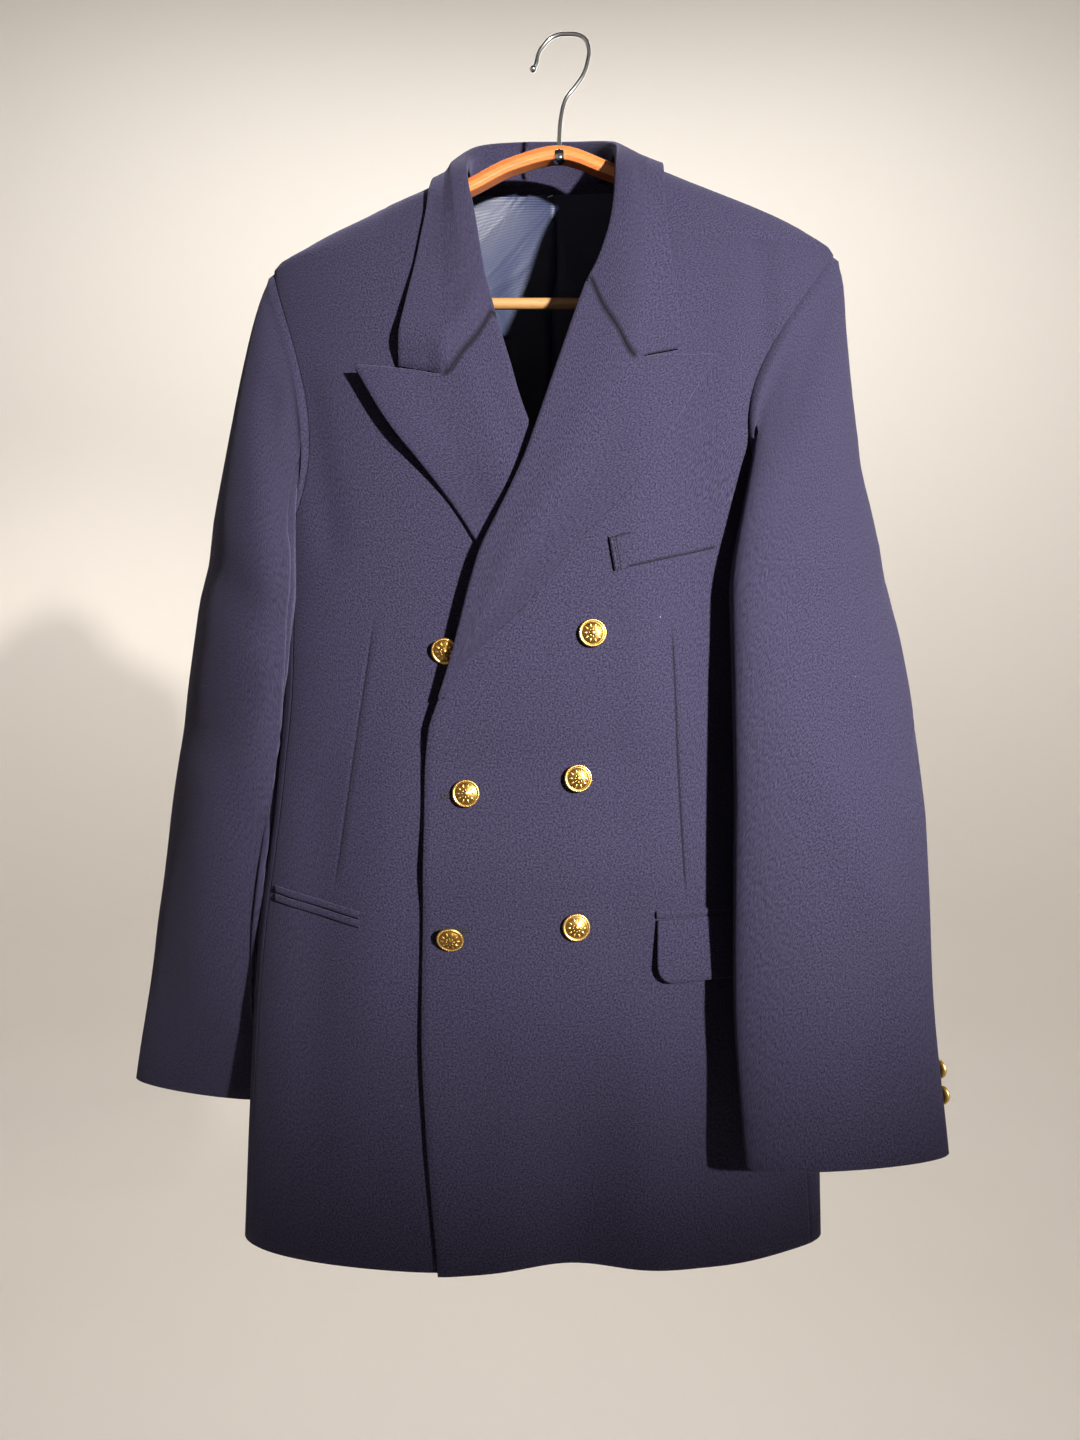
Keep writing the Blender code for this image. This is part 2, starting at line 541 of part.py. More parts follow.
def cloth(name, outer, inner, colour=NAVY, rough=0.9, draw=GAP / 2):
    """A closed piece of cloth between two grids of points; neighbours share their directions."""
    m, n = outer.shape[:2]
    outer, inner = seam_inset(outer, draw), seam_inset(inner, draw)
    verts = np.concatenate([outer.reshape(-1, 3), inner.reshape(-1, 3)])
    faces = []
    for i in range(m - 1):
        for j in range(n - 1):
            a, b, c, d = i * n + j, (i + 1) * n + j, (i + 1) * n + j + 1, i * n + j + 1
            if np.linalg.norm(verts[a] - verts[c]) > np.linalg.norm(verts[b] - verts[d]):
                a, b, c, d = b, c, d, a
            for corner in ((a, b, c), (a, c, d)):
                faces.append(corner)
                faces.append([k + m * n for k in reversed(corner)])
    rim = [j for j in range(n)] + [i * n + n - 1 for i in range(1, m)]
    rim += [(m - 1) * n + j for j in range(n - 2, -1, -1)] + [i * n for i in range(m - 2, 0, -1)]
    for a, b in zip(rim, rim[1:] + rim[:1]):
        faces.append([a, b, b + m * n, a + m * n])
    mesh = bpy.data.meshes.new(name)
    mesh.from_pydata(verts.tolist(), [], faces)
    work = bmesh.new()
    work.from_mesh(mesh)
    bmesh.ops.recalc_face_normals(work, faces=work.faces)
    work.to_mesh(mesh)
    work.free()
    return add(name, mesh, colour, rough)


def laid_cloth(name, outer, thick):
    """A piece that lies on a front, its thickness taken from its own surface."""
    way = grid_normals(outer)
    if np.sum(way[..., 1]) > 0:
        way = -way
    return cloth(name, outer, outer - way * thick)


def turned_cloth():
    """Both lapels and the collar; the collar meets each lapel at the gorge in the same directions."""
    round_neck = collar()
    way = -grid_normals(round_neck)
    shared = 4 + (round_neck.shape[1] - 4) // 2
    for side, name, row in ((1, "left", 0), (-1, "right", -1)):
        outer = lapel(side)
        out = grid_normals(outer) * side
        way[row, :shared] = out[0, :shared]
        cloth("lapel_" + name, outer, outer - out * TURNED)
    cloth("collar", round_neck, round_neck - way * TURNED)


def turned(name, at, way, radius, profile, steps, colour, rough, metal):
    """A turned body from a profile of (out, up) in radii, standing on a point along a way."""
    mesh = bpy.data.meshes.new(name)
    verts = [(radius * out, 0.0, radius * up) for out, up in reversed(profile)]
    mesh.from_pydata(verts, [(k, k + 1) for k in range(len(verts) - 1)], [])
    obj = add(name, mesh, colour, rough, metal)
    screw = obj.modifiers.new("turn", "SCREW")
    screw.steps = screw.render_steps = steps
    screw.use_merge_vertices = True
    screw.merge_threshold = 0.0001
    way = unit(np.asarray(way, float))
    side = unit(np.cross(way, (0.3, 0.2, 1.0)))
    other = np.cross(way, side)
    world = np.eye(4)
    world[:3, 0], world[:3, 1], world[:3, 2], world[:3, 3] = side, other, way, at
    obj.matrix_world = Matrix(world.tolist())
    return obj


def tube(name, points, radius, colour, rough, metal=0.0):
    """A round wire or bar along points."""
    curve = bpy.data.curves.new(name, "CURVE")
    curve.dimensions = "3D"
    curve.bevel_depth = radius
    curve.bevel_resolution = 2
    curve.use_fill_caps = True
    line = curve.splines.new("POLY")
    line.points.add(len(points) - 1)
    for dot, p in zip(line.points, points):
        dot.co = (p[0], p[1], p[2], 1.0)
    curve.materials.append(material(name, colour, rough, metal))
    obj = bpy.data.objects.new(name, curve)
    bpy.data.collections["double_breasted_blazer"].objects.link(obj)
    return obj


def arms(count=8):
    """Bent wooden bar of the hanger, rings of points joined end to end."""
    x = np.concatenate([np.linspace(ARMS[0][0], -0.175, 4), np.linspace(-0.150, 0.145, 17),
                        np.linspace(0.170, ARMS[-1][0], 4)])
    z, tall, deep = [smooth(ARMS, c, x) for c in (1, 2, 3)]
    run = unit(np.stack([np.gradient(x), np.zeros_like(x), np.gradient(z)], axis=-1))
    up = np.stack([-run[:, 2], np.zeros_like(x), run[:, 0]], axis=-1)
    verts, faces = [], []
    for k in range(len(x)):
        for a in np.arange(count) * 2 * pi / count + pi / count:
            p = np.array([x[k], 0.0, z[k]]) + up[k] * tall[k] * 1.15 * np.sin(a)
            verts.append(p + np.array([0.0, deep[k] * 1.15 * np.cos(a), 0.0]))
    for k in range(len(x) - 1):
        for a in range(count):
            b = (a + 1) % count
            faces.append([k * count + a, (k + 1) * count + a, (k + 1) * count + b, k * count + b])
    faces.append(list(range(count)))
    faces.append([(len(x) - 1) * count + a for a in reversed(range(count))])
    mesh = bpy.data.meshes.new("hanger_bar")
    mesh.from_pydata([tuple(v) for v in verts], [], [f[::-1] for f in faces])
    return add("hanger_bar", mesh, WOOD, 0.35)


def build():
    for obj in list(bpy.data.objects):
        bpy.data.objects.remove(obj, do_unlink=True)
    group = bpy.data.collections.new("double_breasted_blazer")
    bpy.context.scene.collection.children.link(group)
    for side, name in ((1, "left"), (-1, "right")):
        cloth("front_" + name, front_panel(side), front_panel(side, CLOTH))
        cloth("side_" + name, side_panel(side), side_panel(side, CLOTH))
        cloth("back_" + name, back_panel(side), back_panel(side, CLOTH))
        cloth("lining_back_" + name, lining_panel(side), lining_panel(side, SILK), SLATE, 0.4)
        seam_f, seam_b = SLEEVE_SEAM[side], HOLE_STEPS + SIDE_STEPS
        around = 2 * HOLE_STEPS + SIDE_STEPS
        cloth("sleeve_top_" + name, *sleeve(side, seam_b, around + seam_f))
        cloth("sleeve_under_" + name, *sleeve(side, seam_f, seam_b))
    turned_cloth()
    welt = ((0.0, 0.0022), (0.5, 0.0028), (1.0, 0.0022))
    jet = ((0.0, 0.0020), (0.5, 0.0028), (1.0, 0.0020))
    laid_cloth("breast_welt", strip(0.0305, 0.1136, (-0.4155, -0.395), (-0.4405, -0.4205), welt, 1),
               0.0016)
    laid_cloth("jet_left", strip(0.0670, 0.1750, (-0.6865, -0.6825), (-0.6925, -0.6885), jet, 1),
               0.0012)
    laid_cloth("flap_left", flap(), 0.0020)
    laid_cloth("jet_upper_right",
               strip(-0.2200, -0.1510, (-0.6740, -0.6885), (-0.6795, -0.6940), jet, 0), 0.0012)
    laid_cloth("jet_lower_right",
               strip(-0.2200, -0.1510, (-0.6803, -0.6948), (-0.6860, -0.7005), jet, 0), 0.0012)
    for name, x, h, over, off in BUTTONS:
        q, lift = place(x, h), over * stand_off(x, h) + off
        turned(name, body(q, h, lift), normal(q, h), BUTTON, DOME, 16, BRASS, 0.3, 1.0)
    for side, name in ((1, "left"), (-1, "right")):
        for k, z in enumerate(CUFF_ROWS):
            turn = radians(CUFF_TURN[side])
            p = sleeve_section(turn, z, side)
            step = sleeve_section(turn + 0.02, z, side) - sleeve_section(turn - 0.02, z, side)
            drop = sleeve_section(turn, z - 0.01, side) - sleeve_section(turn, z + 0.01, side)
            way = unit(np.cross(step, drop) * side)
            turned("cuff_button_%s_%d" % (name, k + 1), p - way * CUFF_SINK[side], way, CUFF_BUTTON, DOME,
                   12, BRASS, 0.3, 1.0)
    arms()
    x0, x1, z, r = TROUSER_BAR
    tube("trouser_bar", [(x0, 0, z), ((x0 + x1) / 2, 0, z), (x1, 0, z)], r, PALE_WOOD, 0.35)
    tube("hook", [(x, 0.0, z) for x, z in HOOK], WIRE, CHROME, 0.15, 1.0)


build()
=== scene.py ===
"""Looks of the double-breasted blazer on its wooden hanger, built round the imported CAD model.

Metres, +Z up, front towards -Y, origin at the bearing point of the hook. Right and left are the wearer's.
The cloth is worked out from the same named sizes and tables as the CAD, in finer steps and with its folds.
"""
from math import cos, pi, radians, sin

import bmesh
import bpy
import numpy as np
from bpy.props import FloatProperty, FloatVectorProperty, PointerProperty
from mathutils import Matrix


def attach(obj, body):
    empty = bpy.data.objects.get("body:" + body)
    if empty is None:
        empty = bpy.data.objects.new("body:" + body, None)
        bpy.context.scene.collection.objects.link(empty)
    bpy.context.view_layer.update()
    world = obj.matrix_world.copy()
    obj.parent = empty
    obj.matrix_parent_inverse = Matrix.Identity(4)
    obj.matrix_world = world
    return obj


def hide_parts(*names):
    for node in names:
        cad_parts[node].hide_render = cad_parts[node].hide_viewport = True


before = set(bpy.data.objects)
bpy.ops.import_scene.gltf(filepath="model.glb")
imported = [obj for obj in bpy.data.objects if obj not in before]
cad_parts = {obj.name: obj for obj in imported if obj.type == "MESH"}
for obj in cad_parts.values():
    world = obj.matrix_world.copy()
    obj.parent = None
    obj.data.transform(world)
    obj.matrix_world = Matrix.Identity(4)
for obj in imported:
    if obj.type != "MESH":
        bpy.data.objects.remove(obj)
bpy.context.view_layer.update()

bl_info = {
    "name": "Double-breasted blazer looks",
    "version": (1, 0, 0),
    "blender": (4, 5, 0),
    "location": "3D View > Sidebar > Blazer",
    "description": "Builds the cloth, buttons and hanger of a double-breasted blazer round its CAD frame",
    "category": "Add Mesh",
}

# Driving sizes
CLOTH = 0.0018  # worsted with its fusing
TURNED = 0.0022  # lapel and collar, two layers and canvas
SILK = 0.001  # lining
GAP = 0.0003  # air between two pieces at a seam
NECK, SHOULDER, UNDERARM, HEM = -0.1125, -0.1845, -0.415, -0.955  # heights on the body form
TILT = 0.029  # the hanger leans: rise per metre towards +X
CENTRE_X = -0.008
CENTRE_BACK = 2.0  # place round the body of the centre back seam
NECK_INSET = 0.008  # the neck seam lies this far outside the fold of the collar
ROLL_INSET = 0.003  # and the front stops this far inside the rolled edge of the lapel
BACK_RISE = 0.018  # the back neck stands higher than the shoulder seam
VALLEY = 0.024  # depth of the soft fold down the lower front
BUTTON, CUFF_BUTTON = 0.01, 0.0075  # radii
WIRE = 0.00175  # radius of the hook wire
FRONT_HOLE = {-1: 0.36, 1: 0.53}  # how far each armhole cuts into the front
BACK_HOLE = 0.36
SEAM_TURN = radians(140)  # where the side panel starts on the armhole
HOLE_STEPS, SIDE_STEPS = 8, 6  # steps along the armhole of a front or back, and of a side panel
DOWN_STEPS = 13  # steps from the armhole to the hem
CLEAR = 0.004  # a sleeve keeps this far off the body form
HEM_SIDE = {-1: 0.86, 1: 0.78}  # place of the front side seam at the hem
HEM_BACK = 1.34

# Body rings: height, left x, right x, front y, back y, squareness
BODY = (
    (-0.1125, -0.0885, 0.075, -0.03, 0.05, 2.1),
    (-0.128, -0.1164, 0.108, -0.038, 0.057, 2.1),
    (-0.139, -0.143, 0.134, -0.042, 0.062, 2.1),
    (-0.149, -0.164, 0.158, -0.044, 0.065, 2.1),
    (-0.16, -0.189, 0.1815, -0.046, 0.067, 2.1),
    (-0.1705, -0.2085, 0.199, -0.049, 0.069, 2.1),
    (-0.1845, -0.23, 0.216, -0.052, 0.071, 2.1),
    (-0.22, -0.231, 0.216, -0.059, 0.075, 2.1),
    (-0.3, -0.228, 0.209, -0.067, 0.08, 2.2),
    (-0.42, -0.224, 0.203, -0.07, 0.08, 2.2),
    (-0.51, -0.223, 0.199, -0.07, 0.074, 2.2),
    (-0.6, -0.229, 0.198, -0.07, 0.072, 2.2),
    (-0.73, -0.2425, 0.202, -0.069, 0.077, 2.2),
    (-0.85, -0.249, 0.204, -0.067, 0.082, 2.1),
    (-0.955, -0.253, 0.206, -0.066, 0.084, 2.1),
)

# Inner edge of each front: height, x. It is the roll line, then the front edge down to the hem
EDGE = {1: (
    (-0.11, 0.037), (-0.164, 0.036), (-0.2, 0.027), (-0.226, 0.016), (-0.268, 0.002),
    (-0.324, -0.017), (-0.361, -0.03), (-0.393, -0.045), (-0.426, -0.0605), (-0.465, -0.0712),
    (-0.495, -0.0794), (-0.53, -0.0922), (-0.556, -0.1008), (-0.689, -0.103), (-0.775, -0.104),
    (-0.849, -0.101), (-0.955, -0.0925),
), -1: (
    (-0.11, -0.071), (-0.167, -0.068), (-0.202, -0.062), (-0.2475, -0.051), (-0.289, -0.039),
    (-0.311, -0.033), (-0.35, -0.018), (-0.42, 0.004), (-0.49, 0.024), (-0.54, 0.033),
    (-0.955, 0.033),
)}
# How far the left front stands off the right one: height, lift
OVERLAP = (
    (-0.2, 0.0), (-0.3, 0.011), (-0.42, 0.015), (-0.5, 0.015), (-0.555, 0.011),
    (-0.578, 0.0066), (-0.612, 0.0056), (-0.657, 0.0085), (-0.688, 0.0052), (-0.715, 0.005),
    (-0.8, 0.0065), (-0.955, 0.0065),
)
OVERLAP_X = (0.045, 0.11)  # full lift up to the first x, none past the second

# Turned lapels: x, height along the gorge and along the outer edge, and the height where the roll ends
GORGE = {1: ((0.016, -0.226), (0.0485, -0.287), (0.111, -0.281)),
         -1: ((-0.051, -0.2475), (-0.086, -0.292), (-0.1525, -0.282))}
OUTER = {1: (
    (0.111, -0.281), (0.0814, -0.3282), (0.0435, -0.3847), (0.0142, -0.414),
    (-0.033, -0.4705), (-0.0588, -0.4941), (-0.078, -0.517), (-0.086, -0.532),
), -1: (
    (-0.1525, -0.282), (-0.126, -0.328), (-0.102, -0.36), (-0.078, -0.393),
    (-0.059, -0.423), (-0.025, -0.46), (0.005, -0.493), (0.0165, -0.512),
)}
ROLL_END = {1: -0.531, -1: -0.512}
LAPEL_GRAIN = 0.45  # turn of the weave on a lapel, in radians
EDGE_STANDS = {1: 0.003, -1: 0.0085}  # how far the outer edge of each lapel lifts off the front
STANDS_UNTIL = {1: (0.6, 0.98), -1: (0.16, 0.46)}  # shares of the way down where that fades out

# Collar: fold line, then outer edge of the fall, from the left gorge round the back to the right
FOLD = (
    (0.016, -0.064, -0.226), (0.027, -0.061, -0.2), (0.036, -0.052, -0.164),
    (0.04, -0.037, -0.124), (0.043, 0.0, -0.088), (0.032, 0.035, -0.065),
    (0.008, 0.055, -0.054), (-0.018, 0.06, -0.051), (-0.045, 0.053, -0.056),
    (-0.066, 0.033, -0.07), (-0.076, 0.0, -0.096), (-0.074, -0.037, -0.131),
    (-0.067, -0.052, -0.168), (-0.059, -0.061, -0.212), (-0.051, -0.065, -0.2475),
)
FALL = (
    (0.084, -0.277), (0.083, -0.246), (0.0795, -0.211), (0.076, -0.172),
)
FALL_BACK = (
    (0.0745, -0.016, -0.12), (0.071, 0.03, -0.108), (0.04, 0.07, -0.108),
    (-0.008, 0.08, -0.108), (-0.056, 0.072, -0.11), (-0.088, 0.032, -0.113),
    (-0.099, -0.016, -0.128),
)
FALL_RIGHT = (
    (-0.105, -0.17), (-0.111, -0.208), (-0.118, -0.25), (-0.122, -0.283),
)
# Height of the collar's stand: share of the way round, height
STAND = (
    (0.0, 0.003), (0.22, 0.007), (0.29, 0.005), (0.34, 0.014), (0.42, 0.03), (0.5, 0.038),
    (0.58, 0.03), (0.66, 0.014), (0.71, 0.005), (0.78, 0.007), (1.0, 0.003),
)
LINING = (-0.118, -0.93, 0.0045)  # back lining: top, bottom, depth inside the skin
LINING_REACH = 0.93  # share of the back that the lining covers
KNOT_X = -0.0135  # place of the knot of thread at its top

# Sleeve sections: height, centre x, centre y, half width, half thickness, turn in degrees
SLEEVE = {
    1: (
        (-0.457, 0.193, -0.0345, 0.088, 0.03, 55),
        (-0.532, 0.197, -0.047, 0.086, 0.028, 62),
        (-0.606, 0.199, -0.058, 0.084, 0.026, 68),
        (-0.745, 0.1975, -0.07, 0.08, 0.022, 76),
        (-0.863, 0.204, -0.081, 0.0775, 0.017, 81),
    ),
    -1: (
        (-0.457, -0.257, 0.016, 0.083, 0.033, 33),
        (-0.532, -0.269, 0.028, 0.084, 0.033, 36),
        (-0.606, -0.2795, 0.041, 0.084, 0.033, 41),
        (-0.68, -0.2885, 0.048, 0.0825, 0.03, 46),
        (-0.745, -0.298, 0.054, 0.08, 0.0265, 50),
        (-0.863, -0.3045, 0.061, 0.075, 0.017, 70),
    ),
}
SLEEVE_SEAM = {1: 8, -1: 6}  # steps round from the shoulder to the front seam of a sleeve

# Hanger arms: x, height of the middle, half height, half depth
ARMS = (
    (-0.208, -0.219, 0.009, 0.006), (-0.2, -0.202, 0.011, 0.0065),
    (-0.18, -0.182, 0.01, 0.007), (-0.14, -0.1562, 0.008, 0.007),
    (-0.105, -0.1358, 0.0065, 0.007), (-0.072, -0.12, 0.0055, 0.007),
    (-0.04, -0.104, 0.0055, 0.007), (-0.003, -0.095, 0.0058, 0.007),
    (0.036, -0.1075, 0.0055, 0.007), (0.072, -0.122, 0.0055, 0.007),
    (0.105, -0.134, 0.0065, 0.007), (0.14, -0.1498, 0.008, 0.007),
    (0.172, -0.1735, 0.01, 0.007), (0.19, -0.198, 0.011, 0.0065),
    (0.196, -0.217, 0.009, 0.006),
)
TROUSER_BAR = (-0.1896, 0.181, -0.214, 0.0045)  # from x, to x, height, radius
HOOK = (
    (-0.0028, -0.0885), (-0.002, -0.072), (0.0004, -0.0566), (0.0028, -0.0499), (0.01, -0.0406),
    (0.0164, -0.031), (0.0196, -0.0218), (0.0212, -0.0126), (0.0196, -0.0046), (0.014, 0.0005),
    (0.0076, 0.0018), (0.0, 0.0017), (-0.0084, -0.001), (-0.0148, -0.007),
    (-0.0196, -0.015), (-0.021, -0.0218), (-0.0236, -0.0262),
)  # x, height of the wire

# Buttons: name, x, height, which front it lies on, how far its back stands off
BUTTONS = (
    ("button_left_upper", 0.019, -0.485, 1, 0.0006),
    ("button_left_middle", 0.009, -0.589, 1, 0.0019),
    ("button_left_lower", 0.008, -0.697, 1, 0.0006),
    ("button_right_upper", -0.087, -0.4955, 0, 0.0006),
    ("button_right_middle", -0.071, -0.6, 1, 0.0012),
    ("button_right_lower", -0.082, -0.7045, 1, 0.0006),
)
CUFF_TURN = {1: 262, -1: 232}  # degrees round each sleeve
CUFF_SINK = {1: 0.0004, -1: 0.0}  # how far the back of a cuff button lies inside the rounded section
CUFF_ROWS = (-0.806, -0.824)

# Finer form: steps added between those of the CAD
FINE = 4  # steps of a panel for one of the CAD's
SLEEVE_FINE = 3
EDGE_ROUND = 0.42  # how far the middle of a raw edge stands out, in thicknesses
GROOVE, GROOVE_HALF = 0.0009, 0.0011  # depth and half width of a dart's seam

# Soft folds: from x, z, to x, z, half width, depth inwards (below zero it stands out)
FRONT_FOLDS = (
    (0.15, -0.19, 0.152, -0.25, 0.01, 0.004),
    (0.15, -0.262, 0.138, -0.39, 0.014, 0.0045),
    (-0.196, -0.3, -0.176, -0.41, 0.014, 0.003),
    (-0.12, -0.56, -0.15, -0.76, 0.028, -0.003),
    (-0.185, -0.6, -0.19, -0.86, 0.022, 0.003),
    (0.045, -0.56, 0.05, -0.72, 0.026, 0.0025),
    (0.12, -0.52, 0.125, -0.64, 0.018, 0.0025),
    (0.1, -0.8, 0.06, -0.845, 0.026, -0.0025),
    (0.135, -0.86, 0.02, -0.885, 0.02, 0.002),
    (-0.06, -0.8, -0.07, -0.93, 0.024, 0.0025),
)
BACK_FOLDS = (
    (-0.08, -0.2, -0.15, -0.33, 0.022, 0.004),
    (0.07, -0.2, 0.14, -0.33, 0.022, 0.004),
    (-0.13, -0.45, -0.06, -0.54, 0.024, 0.004),
    (0.12, -0.46, 0.05, -0.55, 0.024, 0.004),
    (-0.11, -0.62, -0.12, -0.93, 0.03, -0.0035),
    (0.09, -0.62, 0.105, -0.93, 0.03, -0.0035),
)
# Folds of the sleeves on the side towards the camera and on the far side
SLEEVE_FOLDS = {
    1: (
        (0.2, -0.235, 0.16, -0.33, 0.016, 0.004),
        (0.16, -0.39, 0.225, -0.35, 0.018, 0.0025),
        (0.165, -0.47, 0.27, -0.44, 0.02, 0.003),
        (0.185, -0.545, 0.275, -0.58, 0.022, 0.003),
        (0.175, -0.56, 0.235, -0.69, 0.02, -0.003),
        (0.25, -0.64, 0.215, -0.8, 0.018, 0.0022),
    ),
    -1: (
        (-0.225, -0.3, -0.205, -0.4, 0.014, 0.003),
        (-0.285, -0.42, -0.225, -0.47, 0.02, 0.0025),
        (-0.3, -0.56, -0.24, -0.53, 0.022, 0.003),
        (-0.28, -0.6, -0.3, -0.76, 0.022, -0.0025),
        (-0.24, -0.64, -0.255, -0.78, 0.016, 0.0022),
    ),
}
FAR_FOLDS = {
    1: ((0.16, -0.48, 0.23, -0.52, 0.02, 0.0035), (0.17, -0.6, 0.24, -0.57, 0.02, 0.003)),
    -1: ((-0.3, -0.48, -0.23, -0.52, 0.02, 0.0035), (-0.31, -0.6, -0.25, -0.57, 0.02, 0.003)),
}
# Front darts: side, x and height of the top, x and height of the foot
DARTS = {1: (0.077, -0.476, 0.089, -0.678), -1: (-0.141, -0.4695, -0.172, -0.675)}

# Pocket flap: x and height of its upper corner, width, depth, rise to the side, radius of its corners
FLAP_X, FLAP_TOP, FLAP_WIDE, FLAP_DEEP, FLAP_RISE, FLAP_ROUND = 0.068, -0.6935, 0.11, 0.045, 0.005, 0.0105
# Breast welt: x of its two ends, heights of the top and the foot there, width of its turned end
WELT = (0.0302, 0.112, -0.4165, -0.396, -0.441, -0.4215)
WELT_TURN = 0.0048
WELT_SKEW = 0.0042  # how far its foot leans to the left side
# Pocket jets: x of the ends, heights of the top and of the foot there, which front (1 is the left)
JETS = {
    "jet_left": (0.067, 0.175, (-0.6865, -0.6825), (-0.6925, -0.6885), 1),
    "jet_upper_right": (-0.22, -0.151, (-0.674, -0.6885), (-0.6795, -0.694), 0),
    "jet_lower_right": (-0.22, -0.151, (-0.6803, -0.6948), (-0.686, -0.7005), 0),
}
JET_ROLL = ((0.0, 0.0018), (0.25, 0.0026), (0.5, 0.0029), (0.75, 0.0026), (1.0, 0.0018))  # share down, lift
WELT_THICK, JET_THICK, FLAP_THICK = 0.0004, 0.0012, 0.002
HOLES = (("middle", -0.0865, -0.602), ("lower", -0.0905, -0.7))  # buttonholes: x, height of the eye
HOLE_LONG = 0.022
# Two buttons hang loose on their thread: how far the face droops, in degrees, and stands out
DROOP = {"button_right_upper": (20.0, 0.0015), "button_right_lower": (26.0, 0.0035)}
# Creases of the back lining, as the folds above
LINING_FOLDS = (
    (-0.0137, -0.151, 0.0194, -0.12, 0.0035, -0.0014),
    (0.0194, -0.12, 0.04, -0.142, 0.004, -0.0012),
    (-0.035, -0.125, -0.015, -0.127, 0.0025, -0.0012),
    (0.02, -0.19, 0.03, -0.4, 0.009, 0.0016),
    (-0.045, -0.17, -0.035, -0.4, 0.01, -0.0016),
    (-0.03, -0.22, -0.01, -0.32, 0.006, 0.0012),
)
# Nut under the bar, in radii: out, up. Its place and radius
NUT = ((0.0, -1.0), (0.7, -1.0), (0.96, -0.78), (1.0, -0.5), (1.0, 0.55), (0.86, 0.75), (0.0, 0.75))
NUT_AT, NUT_SIZE = (-0.0028, -0.0042, -0.0985), 0.0048
TIP = 0.0027  # radius of the ball on the end of the hook
# Button profile in radii: out, up. A flat back, a turned rim, a channel and a low dome
FACE = (
    (0.0, 0.0), (0.6, 0.0), (0.9, 0.07), (0.985, 0.17), (1.0, 0.24), (0.985, 0.31), (0.93, 0.345),
    (0.87, 0.335), (0.83, 0.3), (0.8, 0.29), (0.74, 0.335), (0.6, 0.415), (0.42, 0.475),
    (0.22, 0.515), (0.16, 0.56), (0.08, 0.59), (0.0, 0.595),
)
# Rings of raised beads on a button: count, ring radius, up, half length, half width, half height, slant
BEADS = (
    (36, 0.915, 0.335, 0.06, 0.034, 0.03, 50.0),
    (10, 0.53, 0.43, 0.165, 0.075, 0.05, 0.0),
    (10, 0.67, 0.375, 0.045, 0.045, 0.035, 0.0),
    (8, 0.255, 0.5, 0.075, 0.05, 0.04, 0.0),
)

# Backdrop: out from the middle, height
BACKDROP = ((0.001, -3.0), (4.2, -3.0), (4.8, -2.9), (5.25, -2.6), (5.45, -2.2), (5.5, -1.7), (5.5, 4.5))
EYE = (-0.018, -0.8, -0.547)  # place of the camera
# Lights: name, kind, which power and how many times it, size, place, aim, colour
LIGHTS = (
    ("key", "SPOT", "key_power", 1.0, 0.05, (1.06, -1.85, -0.1), (0.08, 0.0, -0.37), (1.0, 0.97, 0.9)),
    ("fill", "AREA", "fill_power", 1.0, 1.8, (-1.7, -1.4, 0.2), (0.0, 0.0, -0.5), (0.86, 0.91, 1.0)),
    ("back", "AREA", "back_power", 1.0, 1.6, (0.6, 1.9, 0.6), (0.0, 0.0, -0.5), (0.95, 0.96, 1.0)),
    ("drop", "AREA", "back_power", 7.6, 3.5, (0.0, 2.2, 2.6), (0.0, 5.5, -1.2), (1.0, 0.98, 0.95)),
)

# Finishes and colours
SERGE, SATIN = "navy_worsted_serge", "slate_blue_satin"
BRASS, CHROME = "stamped_gilt_brass", "chromed_steel_wire"
ORANGE_BEECH, HONEY_BEECH = "orange_varnished_beech", "honey_varnished_beech"
NAVY_THREAD, WHITE_THREAD = "navy_thread", "white_thread"
DARK_YARN, LIGHT_YARN, WORN_YARN, SEAM_SHADE, LINT = "#0D0D18", "#343048", "#2D2A40", "#040406", "#A8A8B6"
SIDES = ((1, "left"), (-1, "right"))


def smooth(rows, col, x):
    """Read one column of a short table at x, smoothly and without overshoot."""
    rows = sorted(rows)
    at = np.array([r[0] for r in rows], float)
    val = np.array([r[col] for r in rows], float)
    d = np.diff(val) / np.diff(at)
    m = np.concatenate(([d[0]], np.zeros(len(d) - 1), [d[-1]]))
    same = d[:-1] * d[1:] > 0
    total = np.where(same, d[:-1] + d[1:], 1.0)
    m[1:-1] = np.where(same, 2 * d[:-1] * d[1:] / total, 0.0)
    x = np.clip(x, at[0], at[-1])
    k = np.clip(np.searchsorted(at, x) - 1, 0, len(d) - 1)
    w = at[k + 1] - at[k]
    t = (x - at[k]) / w
    return cubic(t, val[k], w * m[k], val[k + 1], w * m[k + 1])


def cubic(t, start, leave, end, arrive):
    """A smooth curve between two points with given directions, at share t."""
    return ((1 + 2 * t) * (1 - t) ** 2 * start + t * (1 - t) ** 2 * leave
            + t * t * (3 - 2 * t) * end + t * t * (t - 1) * arrive)


def along(points, t):
    """Points at shares t of the way along a line given by a few points."""
    pts = np.array(points, float)
    step = np.linalg.norm(np.diff(pts, axis=0), axis=1)
    at = np.concatenate(([0.0], np.cumsum(step))) / step.sum()
    rows = [(a, *p) for a, p in zip(at, pts)]
    return np.stack([smooth(rows, c + 1, t) for c in range(pts.shape[1])], axis=-1)


def ease(x, low, high):
    """0 at low, 1 at high, level at both ends."""
    t = np.clip((x - low) / (high - low), 0.0, 1.0)
    return t * t * (3 - 2 * t)


def unit(v):
    return v / np.maximum(np.linalg.norm(v, axis=-1, keepdims=True), 1e-12)


